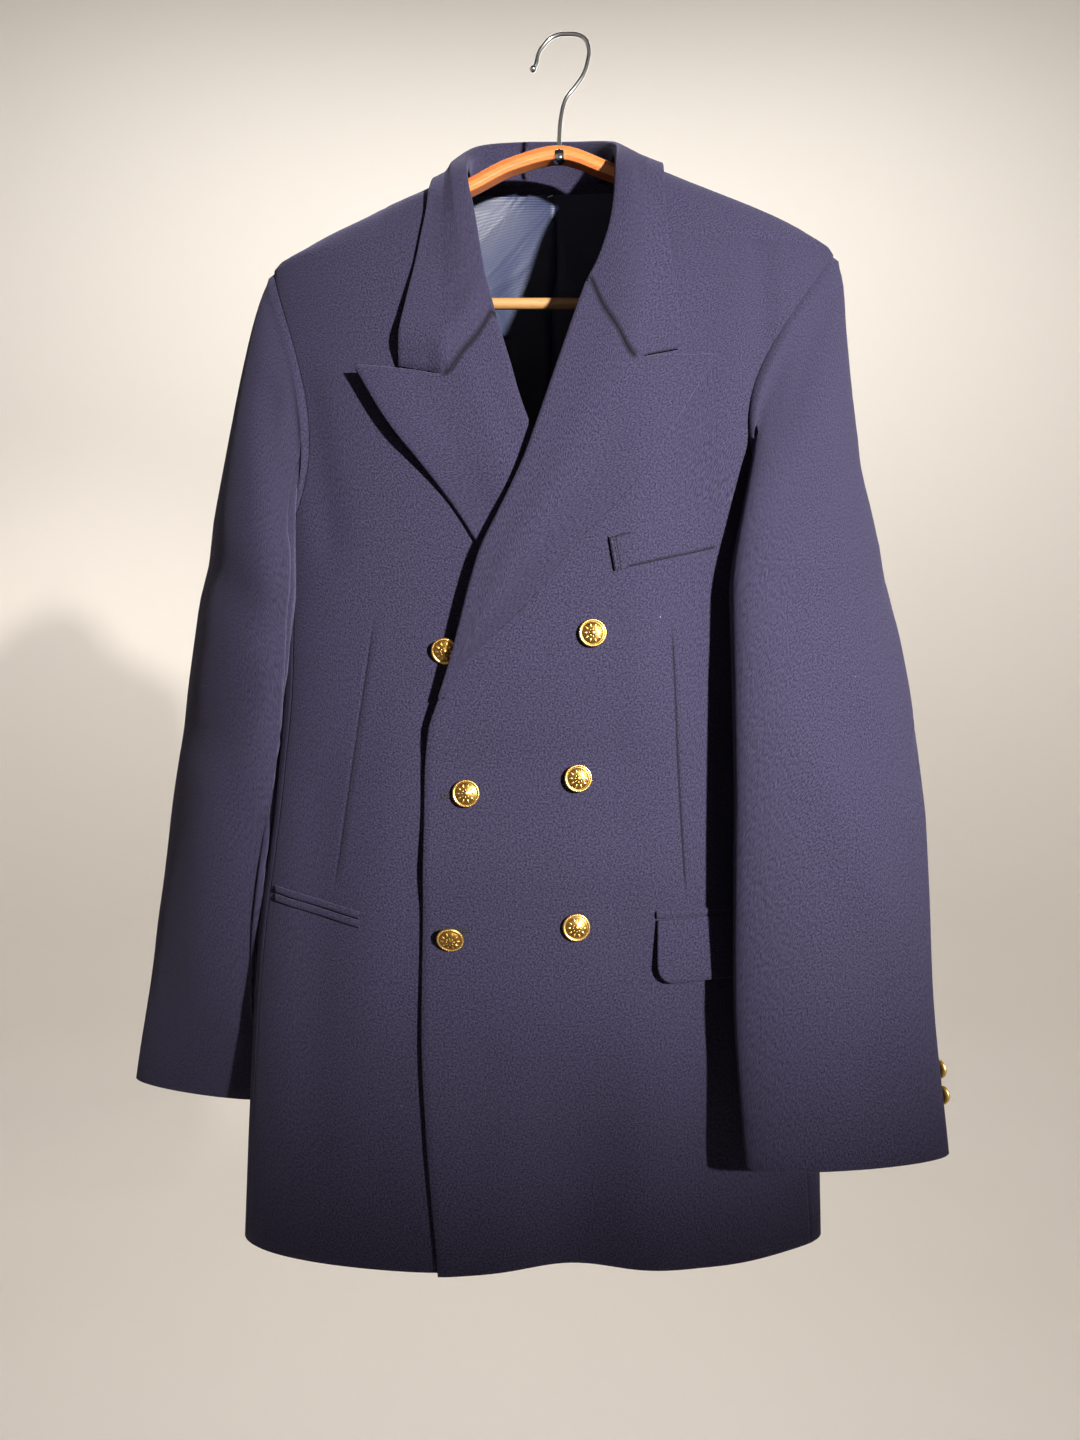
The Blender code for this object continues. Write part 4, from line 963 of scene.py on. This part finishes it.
def grown(tree, mesh, values, finish):
    """The mesh that a Geometry Nodes tree makes of a mesh, with named inputs set."""
    obj = bpy.data.objects.new("grow", mesh)
    bpy.context.scene.collection.objects.link(obj)
    grow = obj.modifiers.new("grow", "NODES")
    grow.node_group = bpy.data.node_groups[tree]
    values = dict(values, Finish=bpy.data.materials[finish])
    for socket in grow.node_group.interface.items_tree:
        if socket.in_out == "INPUT" and socket.name in values:
            grow[socket.identifier] = values[socket.name]
    view = bpy.context.evaluated_depsgraph_get()
    made = bpy.data.meshes.new_from_object(obj.evaluated_get(view))
    obj.modifiers.remove(grow)
    bpy.data.objects.remove(obj)
    made.shade_smooth()
    return made


def bead_tree():
    """Beads or petals set evenly round a ring."""
    tree, given, out = tree_of("bead_ring", (
        ("Count", "Int", 12), ("Ring", "Float", 0.5), ("Up", "Float", 0.3), ("Long", "Float", 0.1),
        ("Wide", "Float", 0.05), ("High", "Float", 0.04), ("Slant", "Float", 0.0),
        ("Finish", "Material", None)))
    get = given.outputs
    ring = add_node(tree, "GeometryNodeMeshCircle", {"Vertices": get["Count"], "Radius": get["Ring"]})
    bead = add_node(tree, "GeometryNodeMeshUVSphere", {"Segments": 8, "Rings": 5, "Radius": 1.0})
    size = add_node(tree, "ShaderNodeCombineXYZ", {"X": get["Long"], "Y": get["Wide"], "Z": get["High"]})
    index = add_node(tree, "GeometryNodeInputIndex")
    share = add_node(tree, "ShaderNodeMath", {0: index, 1: get["Count"]}, operation="DIVIDE")
    angle = add_node(tree, "ShaderNodeMath", {0: share, 1: 2 * pi, 2: get["Slant"]}, operation="MULTIPLY_ADD")
    turn = add_node(tree, "ShaderNodeCombineXYZ", {"Z": angle})
    dots = add_node(tree, "GeometryNodeInstanceOnPoints", {
        "Points": ring, "Instance": bead, "Rotation": turn, "Scale": size})
    rise = add_node(tree, "ShaderNodeCombineXYZ", {"Z": get["Up"]})
    raised = add_node(tree, "GeometryNodeTransform", {"Geometry": dots, "Translation": rise})
    end_tree(tree, raised, get, out)


def stitch_tree():
    """Stitches of one length set along a line, each lying in its direction."""
    tree, given, out = tree_of("stitch_run", (
        ("Spacing", "Float", 0.003), ("Long", "Float", 0.001), ("Thick", "Float", 0.0003),
        ("Turn", "Float", 0.0), ("Finish", "Material", None)))
    get = given.outputs
    line = add_node(tree, "GeometryNodeMeshToCurve", {"Mesh": get["Geometry"]})
    dots = add_node(tree, "GeometryNodeCurveToPoints", {"Curve": line, "Length": get["Spacing"]}, mode="LENGTH")
    stitch = add_node(tree, "GeometryNodeMeshUVSphere", {"Segments": 6, "Rings": 4, "Radius": 1.0})
    size = add_node(tree, "ShaderNodeCombineXYZ", {"X": get["Thick"], "Y": get["Thick"], "Z": get["Long"]})
    lean = add_node(tree, "ShaderNodeCombineXYZ", {"X": get["Turn"]})
    local = add_node(tree, "FunctionNodeEulerToRotation", {"Euler": lean})
    turn = add_node(tree, "FunctionNodeRotateRotation", {
        "Rotation": dots.node.outputs["Rotation"], "Rotate By": local}, rotation_space="LOCAL")
    laid = add_node(tree, "GeometryNodeInstanceOnPoints", {
        "Points": dots, "Instance": stitch, "Rotation": turn, "Scale": size})
    end_tree(tree, laid, get, out)


def stitched(name, line, spacing, long, thick, turn=0.0, finish=NAVY_THREAD, slot="worsted"):
    """A row of stitches along points."""
    mesh = bpy.data.meshes.new(name)
    mesh.from_pydata([tuple(p) for p in line], [(k, k + 1) for k in range(len(line) - 1)], [])
    values = {"Spacing": spacing, "Long": long, "Thick": thick, "Turn": turn}
    piece(name, grown("stitch_run", mesh, values, finish), finish, slot)


def wire(name, points, radius):
    """Round wire along points as a closed mesh."""
    curve = bpy.data.curves.new(name, "CURVE")
    curve.dimensions = "3D"
    curve.bevel_depth, curve.bevel_resolution = radius, 5
    curve.use_fill_caps = True
    line = curve.splines.new("POLY")
    line.points.add(len(points) - 1)
    for dot, p in zip(line.points, points):
        dot.co = (p[0], p[1], p[2], 1.0)
    obj = bpy.data.objects.new(name, curve)
    mesh = bpy.data.meshes.new_from_object(obj)
    bpy.data.objects.remove(obj)
    mesh.shade_smooth()
    return mesh


def bent_bar():
    """The bent bar: a section with a sloping upper face, softened edges, carried along the arms."""
    x = np.concatenate([np.linspace(ARMS[0][0], -0.175, 10), np.linspace(-0.17, 0.165, 68),
                        np.linspace(0.17, ARMS[-1][0], 10)])
    z, tall, deep = [smooth(ARMS, c, x) for c in (1, 2, 3)]
    run = unit(np.stack([np.gradient(x), np.zeros_like(x), np.gradient(z)], axis=-1))
    up = np.stack([-run[:, 2], np.zeros_like(x), run[:, 0]], axis=-1)
    corners = ((-0.72, -1.0), (-1.0, -0.55), (-1.0, 0.1), (-0.55, 1.0), (0.55, 1.0), (1.0, 0.1),
               (1.0, -0.55), (0.72, -1.0))
    section = []
    for k, here in enumerate(corners):
        before, after = np.array(corners[k - 1]), np.array(corners[(k + 1) % len(corners)])
        here = np.array(here)
        section += [here + (before - here) * mix for mix in (0.16, 0.05)]
        section += [here + (after - here) * mix for mix in (0.05, 0.16)]
    n = len(section)
    end = np.minimum(np.arange(len(x)), np.arange(len(x))[::-1])
    narrow = np.sqrt(np.clip((end + 0.35) / 2.2, 0, 1))
    verts = [(x[k], narrow[k] * deep[k] * s[0], z[k]) + up[k] * tall[k] * narrow[k] * s[1]
             for k in range(len(x)) for s in section]
    faces = [[k * n + a, (k + 1) * n + a, (k + 1) * n + (a + 1) % n, k * n + (a + 1) % n]
             for k in range(len(x) - 1) for a in range(n)]
    faces += [list(range(n))[::-1], [(len(x) - 1) * n + a for a in range(n)]]
    return closed_mesh("bent_bar", verts, faces)


def linear(code):
    """sRGB hex to linear colour."""
    parts = [int(code[k:k + 2], 16) / 255 for k in (1, 3, 5)]
    return tuple(p / 12.92 if p <= 0.04045 else ((p + 0.055) / 1.055) ** 2.4 for p in parts) + (1.0,)


def new_finish(name, **values):
    """A material with its Principled values set; returns it with its tree."""
    finish = bpy.data.materials.new(name)
    finish.use_nodes = True
    shader = finish.node_tree.nodes["Principled BSDF"]
    for key, value in values.items():
        shader.inputs[key.replace("_", " ")].default_value = value
    return finish, finish.node_tree


def wave_of(tree, vector, way, period):
    """A sine of the distance along a way, its period in metres."""
    scale = 2 * pi / period
    reach = add_node(tree, "ShaderNodeVectorMath", {0: vector, 1: (way[0] * scale, way[1] * scale, 0.0)},
                     out="Value", operation="DOT_PRODUCT")
    return add_node(tree, "ShaderNodeMath", {0: reach}, operation="SINE")


def tinted(tree, base, *layers):
    """Colours laid over a base one after the other: where, how much, colour."""
    for where, much, code in layers:
        share = add_node(tree, "ShaderNodeMath", {0: where, 1: much}, operation="MULTIPLY")
        base = add_node(tree, "ShaderNodeMix", {0: share, 6: base, 7: linear(code)}, out=2, data_type="RGBA")
    return base


def dress(tree, base=None, rough=None, **relief):
    """Link a colour, a roughness (what, times, plus) and a fine relief to a finish's shader."""
    shader = tree.nodes["Principled BSDF"]
    if base:
        tree.links.new(base, shader.inputs["Base Color"])
    if rough:
        share = add_node(tree, "ShaderNodeMath", dict(enumerate(rough)), operation="MULTIPLY_ADD")
        tree.links.new(share, shader.inputs["Roughness"])
    if relief:
        tree.links.new(add_node(tree, "ShaderNodeBump", relief), shader.inputs["Normal"])


def worsted(sizes):
    """Worsted serge: fine two-and-two twill of smooth yarn, deep navy, matt with a soft bloom at
    grazing light. The twill's real 0.6 mm pitch is drawn at 2.6 mm, faintly, as finer lines alias
    in the render."""
    _, tree = new_finish(
        SERGE, Roughness=0.86, Sheen_Weight=0.1, Sheen_Roughness=0.45, Sheen_Tint=(0.62, 0.58, 1.0, 1.0),
        Specular_IOR_Level=0.12)
    weave = add_node(tree, "ShaderNodeUVMap", uv_map="weave")
    twill = wave_of(tree, weave, (0.94, 0.34), sizes.twill_pitch)
    rib = add_node(tree, "ShaderNodeMath", {0: twill, 1: 0.5, 2: 0.5}, operation="MULTIPLY_ADD")
    yarn, nap = [add_node(tree, "ShaderNodeTexNoise", {
        "Vector": weave, "Scale": scale, "Detail": detail, "Roughness": rough})
        for scale, detail, rough in ((700.0, 2.0, 0.7), (38.0, 4.0, 0.6))]
    yarn = add_node(tree, "ShaderNodeMapRange", {0: yarn, 1: 0.36, 2: 0.66, 3: 0.0, 4: 1.0})
    seam = add_node(tree, "ShaderNodeAttribute", out="Fac", attribute_name="seam")
    place_of = add_node(tree, "ShaderNodeTexCoord", out="Object")
    specks = add_node(tree, "ShaderNodeTexVoronoi", {"Vector": place_of, "Scale": 42.0}, out="Distance")
    speck = add_node(tree, "ShaderNodeMapRange", {0: specks, 1: 0.03, 2: 0.018, 3: 0.0, 4: 1.0})
    pick = add_node(tree, "ShaderNodeSeparateColor", {0: specks.node.outputs["Color"]})
    chosen = add_node(tree, "ShaderNodeMath", {0: pick, 1: 0.8}, operation="GREATER_THAN")
    lint = add_node(tree, "ShaderNodeMath", {0: speck, 1: chosen}, operation="MULTIPLY")
    # Painted shade: the seam attribute darkens seams, dart grooves, the gorge, the welt's lines and the rims
    # towards SEAM_SHADE
    base = tinted(tree, linear(DARK_YARN), (yarn, 0.95, LIGHT_YARN), (rib, 0.12, LIGHT_YARN),
                  (nap, 0.22, WORN_YARN), (seam, 0.85, SEAM_SHADE), (lint, 0.3, LINT))
    ribs = add_node(tree, "ShaderNodeMath", {0: rib, 1: 0.15}, operation="MULTIPLY")
    height = add_node(tree, "ShaderNodeMath", {0: yarn, 1: 0.9, 2: ribs}, operation="MULTIPLY_ADD")
    dress(tree, base, Height=height, Strength=0.55, Distance=0.0005)


def lining_satin():
    """Viscose satin: long warp floats give a slate-blue sheen with a broad soft highlight and fine horizontal
    ribs; its colour is lighter on the crests of the long wrinkles, a painted sheen. The rib's real 0.3 mm pitch
    is drawn at 1.3 mm so that it shows."""
    _, tree = new_finish(
        SATIN, Roughness=0.38, Sheen_Weight=0.06, Sheen_Roughness=0.35, Sheen_Tint=(0.75, 0.82, 1.0, 1.0),
        Anisotropic=0.4, Specular_IOR_Level=0.22)
    weave = add_node(tree, "ShaderNodeUVMap", uv_map="weave")
    rib = wave_of(tree, weave, (0.0, 1.0), 0.0013)
    long = add_node(tree, "ShaderNodeMapping", {"Vector": weave, "Scale": (30.0, 9.0, 1.0)})
    wrinkle_and_sheen = add_node(tree, "ShaderNodeTexNoise", {"Vector": long, "Scale": 1.0, "Detail": 3.0,
                                                    "Distortion": 0.6})
    fine = add_node(tree, "ShaderNodeBump", {"Height": rib, "Strength": 0.25, "Distance": 0.0002})
    # Painted sheen: the colour turns lighter where the wrinkles rise and darker in their troughs
    dress(tree, tinted(tree, linear("#181D33"), (wrinkle_and_sheen, 1.0, "#212846")), (wrinkle_and_sheen, 0.2, 0.28),
          Height=wrinkle_and_sheen, Strength=0.3, Distance=0.004, Normal=fine)


def stamped_brass():
    """Gilt brass stampings: bright yellow metal, smooth on what stands up, with fine tarnish and pitting, and
    painted shade that darkens the hollows between its raised parts."""
    _, tree = new_finish(BRASS, Metallic=1.0, Roughness=0.3)
    place_of = add_node(tree, "ShaderNodeTexCoord", out="Object")
    tarnish = add_node(tree, "ShaderNodeTexNoise", {"Vector": place_of, "Scale": 420.0, "Detail": 4.0,
                                                    "Roughness": 0.65})
    dull = add_node(tree, "ShaderNodeMapRange", {0: tarnish, 1: 0.38, 2: 0.66, 3: 0.0, 4: 0.55})
    hollow_shade = add_node(tree, "ShaderNodeAttribute", out="Fac", attribute_name="hollow_shade")
    # Painted shade: the hollow attribute darkens the ground and channel of the face
    base = tinted(tree, linear("#F3CB78"), (dull, 1.0, "#B98232"), (hollow_shade, 0.62, "#5A3810"))
    dress(tree, base, (tarnish, 0.3, 0.2), Height=tarnish, Strength=0.35, Distance=0.0003)


def varnished_wood(name, light, dark, grain, gloss):
    """Varnished beech: straight grain along the bar, short dark flecks, a clear glossy coat. Grain
    lines stand a real 1.5 to 3 mm apart."""
    _, tree = new_finish(name, Roughness=0.42, Coat_Weight=gloss, Coat_Roughness=0.14)
    place_of = add_node(tree, "ShaderNodeTexCoord", out="Object")
    long = add_node(tree, "ShaderNodeMapping", {"Vector": place_of, "Scale": (9.0, 420.0, 420.0)})
    lines = add_node(tree, "ShaderNodeTexNoise", {"Vector": long, "Scale": 1.0, "Detail": 4.0,
                                                  "Roughness": 0.6, "Distortion": 0.3})
    short = add_node(tree, "ShaderNodeMapping", {"Vector": place_of, "Scale": (95.0, 1500.0, 1500.0)})
    flecks = add_node(tree, "ShaderNodeTexNoise", {"Vector": short, "Scale": 1.0, "Detail": 2.0})
    dots = add_node(tree, "ShaderNodeMapRange", {0: flecks, 1: 0.6, 2: 0.72, 3: 0.0, 4: 0.6})
    base = tinted(tree, linear(light), (lines, 1.0, dark), (dots, 1.0, grain))
    dress(tree, base, (lines, 0.15, 0.33), Height=lines, Strength=0.12, Distance=0.0004)


def bright_chrome():
    """Chromed steel wire: near-mirror grey metal with faint drawing lines and a little haze."""
    _, tree = new_finish(CHROME, Metallic=1.0, Roughness=0.14, Base_Color=linear("#CDD0D4"))
    place_of = add_node(tree, "ShaderNodeTexCoord", out="Object")
    haze = add_node(tree, "ShaderNodeTexNoise", {"Vector": place_of, "Scale": 700.0, "Detail": 2.0})
    dress(tree, None, (haze, 0.16, 0.06), Height=haze, Strength=0.08, Distance=0.0002)


def thread(name, code):
    """Twisted sewing thread: matt plies that catch a little light, drawn as fine bands."""
    _, tree = new_finish(name, Roughness=0.7, Sheen_Weight=0.08)
    place_of = add_node(tree, "ShaderNodeTexCoord", out="Object")
    ply = add_node(tree, "ShaderNodeTexNoise", {"Vector": place_of, "Scale": 2500.0})
    shade = tuple(c * 0.45 for c in linear(code)[:3]) + (1.0,)
    dress(tree, tinted(tree, shade, (ply, 1.0, code)))


class BlazerCloth(bpy.types.PropertyGroup):
    """Sizes and colours of the cloth."""
    twill_pitch: FloatProperty(
        name="Twill pitch", description="Distance between the diagonal lines of the serge",
        default=0.0026, min=0.0003, unit="LENGTH")
    stitch_spacing: FloatProperty(
        name="Stitch spacing", description="Distance from one stitch to the next in a seam",
        default=0.0026, min=0.0005, unit="LENGTH")
    button_radius: FloatProperty(
        name="Button radius", description="Radius of the six front buttons", default=BUTTON, unit="LENGTH")


class BlazerStudio(bpy.types.PropertyGroup):
    """Light and camera."""
    key_power: FloatProperty(
        name="Key power", description="Power of the spot at the upper right", default=880.0, unit="POWER")
    fill_power: FloatProperty(
        name="Fill power", description="Power of the soft light on the left", default=1.5, unit="POWER")
    back_power: FloatProperty(
        name="Back power", description="Power of the lights on the far side and on the backdrop",
        default=24.0, unit="POWER")
    lens: FloatProperty(
        name="Lens", description="Focal length on a 36 mm frame", default=25.0, unit="CAMERA")
    floor_colour: FloatVectorProperty(
        name="Floor colour", description="Colour of the pale floor and backdrop", subtype="COLOR",
        size=4, default=(0.82, 0.775, 0.725, 1.0), min=0.0, max=1.0)


class BLAZER_OT_stage(bpy.types.Operator):
    """Camera at the photo's place, pale floor with a rounded backdrop, soft studio light"""
    bl_idname = "blazer.stage"
    bl_label = "Stage"

    def execute(self, context):
        studio = context.scene.blazer_studio
        camera = bpy.data.cameras.new("camera")
        camera.lens, camera.sensor_width, camera.clip_end = studio.lens, 36.0, 50.0
        eye = bpy.data.objects.new("camera", camera)
        eye.location, eye.rotation_euler = EYE, (pi / 2, 0.0, 0.0)
        context.scene.collection.objects.link(eye)
        context.scene.camera = eye
        steps = 96
        verts = [(r * cos(2 * pi * k / steps), r * sin(2 * pi * k / steps), z)
                 for r, z in BACKDROP for k in range(steps)]
        faces = [(r * steps + k, r * steps + (k + 1) % steps, (r + 1) * steps + (k + 1) % steps,
                  (r + 1) * steps + k) for r in range(len(BACKDROP) - 1) for k in range(steps)]
        mesh = bpy.data.meshes.new("floor")
        mesh.from_pydata(verts, [], faces)
        mesh.shade_smooth()
        mesh.materials.append(new_finish("pale_matt_floor", Base_Color=tuple(studio.floor_colour),
                                         Roughness=0.9, Specular_IOR_Level=0.2)[0])
        floor = bpy.data.objects.new("floor", mesh)
        context.scene.collection.objects.link(floor)
        for name, kind, power, times, size, at, aim, colour in LIGHTS:
            light = bpy.data.lights.new(name, kind)
            light.energy, light.color = getattr(studio, power) * times, colour
            if kind == "SPOT":
                light.shadow_soft_size, light.spot_size, light.spot_blend = size, radians(34), 1.0
            else:
                light.size = size
            lamp = bpy.data.objects.new(name, light)
            lamp.visible_camera = False
            way = np.array(at) - np.array(aim)
            world = np.eye(4)
            world[:3, :3], world[:3, 3] = standing(way), at
            lamp.matrix_world = Matrix(world.tolist())
            context.scene.collection.objects.link(lamp)
        sky = bpy.data.worlds.new("studio")
        sky.use_nodes = True
        background = sky.node_tree.nodes["Background"]
        background.inputs["Color"].default_value = (1.0, 0.97, 0.93, 1.0)
        background.inputs["Strength"].default_value = 0.03
        context.scene.world = sky
        context.scene.view_settings.view_transform = "Standard"
        return {"FINISHED"}


class BLAZER_OT_materials(bpy.types.Operator):
    """Cloth, lining, brass, wood, chrome and thread"""
    bl_idname = "blazer.materials"
    bl_label = "Materials"

    def execute(self, context):
        worsted(context.scene.blazer_cloth)
        lining_satin()
        stamped_brass()
        varnished_wood(ORANGE_BEECH, "#C4743E", "#9A5026", "#5E2A10", 0.5)
        varnished_wood(HONEY_BEECH, "#A07A50", "#8A6238", "#6A3F1A", 0.4)
        bright_chrome()
        thread(NAVY_THREAD, "#12121F")
        thread(WHITE_THREAD, "#E4E2DC")
        bead_tree()
        stitch_tree()
        return {"FINISHED"}


class BLAZER_OT_body(bpy.types.Operator):
    """Fronts with their darts, side panels, backs and the back lining"""
    bl_idname = "blazer.body"
    bl_label = "Body"

    def execute(self, context):
        for side, name in SIDES:
            outer, dart = front_panel(side)
            # The dart's depth share paints shade along its seam
            cloth("front_" + name, outer, front_panel(side, CLOTH)[0], ["hanger_bar"], seam=dart)
            cloth("side_" + name, side_panel(side), side_panel(side, CLOTH), ["front_" + name])
            cloth("back_" + name, back_panel(side), back_panel(side, CLOTH), ["hanger_bar"])
            cloth("lining_back_" + name, lining_panel(side), lining_panel(side, SILK), ["back_" + name],
                  name="satin_back_" + name, finish=SATIN, slot="lining")
        return {"FINISHED"}


class BLAZER_OT_sleeves(bpy.types.Operator):
    """Top and under sleeves with their folds"""
    bl_idname = "blazer.sleeves"
    bl_label = "Sleeves"

    def execute(self, context):
        back_seam, around = HOLE_STEPS + SIDE_STEPS, 2 * HOLE_STEPS + SIDE_STEPS
        for side, name in SIDES:
            front_seam = SLEEVE_SEAM[side]
            cloth("sleeve_top_" + name, *sleeve(side, back_seam, around + front_seam), ["hanger_bar"])
            cloth("sleeve_under_" + name, *sleeve(side, front_seam, back_seam), ["sleeve_top_" + name])
        return {"FINISHED"}


class BLAZER_OT_collar(bpy.types.Operator):
    """Turned lapels and the notched collar"""
    bl_idname = "blazer.collar"
    bl_label = "Collar and lapels"

    def execute(self, context):
        round_neck = collar()
        way = -grid_normals(round_neck)
        shared = 4 + (round_neck.shape[1] - 4) // 2
        for side, name in SIDES:
            outer, row = lapel(side), 0 if side > 0 else -1
            out = grid_normals(outer) * side
            way[row, :shared] = out[0, :shared]
            fine = refine(outer, FINE, FINE)
            thick = TURNED * lapel_thin(np.linspace(0, 1, len(outer)))[:, None, None]
            # Painted shade on the lapel's gorge, and full painted shade on its rims by edge 1.0
            cloth("lapel_" + name, fine, refine(outer - out * thick, FINE, FINE), ["front_" + name],
                  seam=gorge_seam_shade(fine, shared, 0), grain=LAPEL_GRAIN * side, edge=1.0)
        fine = refine(round_neck, FINE, FINE)
        # Painted shade on the collar's gorge at both ends
        cloth("collar", fine, refine(round_neck - way * TURNED, FINE, FINE), ["back_left", "back_right"],
              seam=gorge_seam_shade(fine, shared, 0, -1))
        return {"FINISHED"}


class BLAZER_OT_pockets(bpy.types.Operator):
    """Breast welt, flap and jets, with their stitching"""
    bl_idname = "blazer.pockets"
    bl_label = "Pockets"

    def execute(self, context):
        face, shade_marks = welt()
        # The welt's painted shade lines come from welt(), with no rim shade
        laid_cloth("breast_welt", face, WELT_THICK, ["front_left"], seam=shade_marks, edge=0.0)
        jet("jet_left")
        laid_cloth("flap_left", flap(), FLAP_THICK, ["jet_left"])
        jet("jet_upper_right")
        jet("jet_lower_right")
        u = np.linspace(0, 1, 24)
        spacing = context.scene.blazer_cloth.stitch_spacing
        for k, share in enumerate((0.25, 0.75)):
            x = WELT[0] + WELT_TURN * share + WELT_SKEW * u
            line = on_front(x, WELT[2] + (WELT[4] - WELT[2]) * u, 0.0031, 1)
            stitched("stitch_welt_end_%d" % (k + 1), line, spacing, 0.001, 0.00022)
        return {"FINISHED"}


class BLAZER_OT_buttons(bpy.types.Operator):
    """Brass dome buttons with a beaded rim and a rosette, and the buttonholes"""
    bl_idname = "blazer.buttons"
    bl_label = "Buttons"

    def execute(self, context):
        rings = [grown("bead_ring", bpy.data.meshes.new("empty"), {
            "Count": count, "Ring": ring, "Up": up, "Long": long, "Wide": wide, "High": high,
            "Slant": radians(slant)}, BRASS) for count, ring, up, long, wide, high, slant in BEADS]
        parts = [(m, np.eye(3), (0.0, 0.0, 0.0)) for m in [turned_mesh(FACE, 48)] + rings]
        face = joined("button_face", parts)
        mark_hollow_shade(face)
        for name, x, h, over, off in BUTTONS:
            droop, out = DROOP.get(name, (0.0, 0.0))
            q, lift = place(x, h), over * stand_off(x, h) + off + out
            way = normal(q, h) * cos(radians(droop)) - np.array([0.0, 0.0, sin(radians(droop))])
            turn = standing(way) * context.scene.blazer_cloth.button_radius
            piece("brass_" + name, joined(name, [(face, turn, body(q, h, lift))]), BRASS, "brass", name)
        for side, name in SIDES:
            for k, z in enumerate(CUFF_ROWS):
                turn = radians(CUFF_TURN[side])
                p = sleeve_section(turn, z, side)
                step = sleeve_section(turn + 0.02, z, side) - sleeve_section(turn - 0.02, z, side)
                drop = sleeve_section(turn, z - 0.01, side) - sleeve_section(turn, z + 0.01, side)
                way = unit(np.cross(step, drop) * side)
                node = "cuff_button_%s_%d" % (name, k + 1)
                turn = standing(way) * CUFF_BUTTON
                mesh = joined(node, [(face, turn, p - way * CUFF_SINK[side])])
                piece("brass_" + node, mesh, BRASS, "brass", node)
        for name, x, h in HOLES:
            turn = np.linspace(0.25 * pi, 1.75 * pi, 12)
            run, level = np.linspace(x + HOLE_LONG, x, 16), np.full(16, h)
            loop_x = np.concatenate([run, x - 0.0012 - 0.0016 * np.cos(turn - pi), run[::-1]])
            loop_h = np.concatenate([level + 0.0007, h + 0.0016 * np.sin(turn), level - 0.0007])
            line = on_front(loop_x, loop_h, 0.0004, 1)
            stitched("stitch_buttonhole_" + name, line, 0.00055, 0.0009, 0.00028, pi / 2)
        return {"FINISHED"}


class BLAZER_OT_hanger(bpy.types.Operator):
    """Bent bar, trouser bar, hook with its ball and nut, and the thread at the top of the lining"""
    bl_idname = "blazer.hanger"
    bl_label = "Hanger"

    def execute(self, context):
        piece("bent_bar", bent_bar(), ORANGE_BEECH, "stained_wood", "hanger_bar")
        x0, x1, z, r = TROUSER_BAR
        rod = wire("trouser_rod", [(x, 0.0, z) for x in np.linspace(x0, x1, 24)], r)
        piece("trouser_rod", rod, HONEY_BEECH, "pale_wood", "trouser_bar")
        line = along([(x, 0.0, z) for x, z in HOOK], np.linspace(0, 1, 160))
        ball = turned_mesh([(sin(a), -cos(a)) for a in np.linspace(0, pi, 14)], 24)
        tip = np.array([HOOK[-1][0], 0.0, HOOK[-1][1]])
        nut = turned_mesh(NUT, 32)
        metal = joined("hook_wire", [
            (wire("hook_line", line, WIRE), np.eye(3), (0.0, 0.0, 0.0)),
            (ball, np.eye(3) * TIP, tip), (nut, np.eye(3) * NUT_SIZE, NUT_AT)])
        piece("hook_wire", metal, CHROME, "hook_wire", "hook")
        q, h = CENTRE_BACK - (KNOT_X - CENTRE_X) * 4.0, LINING[0] - 0.0006
        knot = [body(q + k * 0.01, h - 0.0004 * k, -LINING[2] - 0.0016) for k in (-1.0, 0.0, 1.0)]
        stitched("white_thread_knot", knot, 0.0007, 0.0009, 0.0005, finish=WHITE_THREAD, slot="lining")
        return {"FINISHED"}


CLASSES = (BlazerCloth, BlazerStudio, BLAZER_OT_stage, BLAZER_OT_materials, BLAZER_OT_body,
           BLAZER_OT_sleeves, BLAZER_OT_collar, BLAZER_OT_pockets, BLAZER_OT_buttons, BLAZER_OT_hanger)


class BLAZER_PT_panel(bpy.types.Panel):
    """Lists the steps that build the blazer"""
    bl_label = "Blazer"
    bl_idname = "BLAZER_PT_panel"
    bl_space_type = "VIEW_3D"
    bl_region_type = "UI"
    bl_category = "Blazer"

    def draw(self, context):
        for group in (context.scene.blazer_cloth, context.scene.blazer_studio):
            for key in group.__annotations__:
                self.layout.prop(group, key)
        for kind in CLASSES[2:]:
            self.layout.operator(kind.bl_idname)


def register():
    for kind in CLASSES + (BLAZER_PT_panel,):
        bpy.utils.register_class(kind)
    bpy.types.Scene.blazer_cloth = PointerProperty(type=BlazerCloth)
    bpy.types.Scene.blazer_studio = PointerProperty(type=BlazerStudio)


def unregister():
    del bpy.types.Scene.blazer_cloth, bpy.types.Scene.blazer_studio
    for kind in reversed(CLASSES + (BLAZER_PT_panel,)):
        bpy.utils.unregister_class(kind)


def main():
    register()
    for step in ("stage", "materials", "body", "sleeves", "collar", "pockets", "buttons", "hanger"):
        if "FINISHED" not in getattr(bpy.ops.blazer, step)():
            raise RuntimeError("step %s did not finish" % step)


if __name__ == "__main__":
    main()
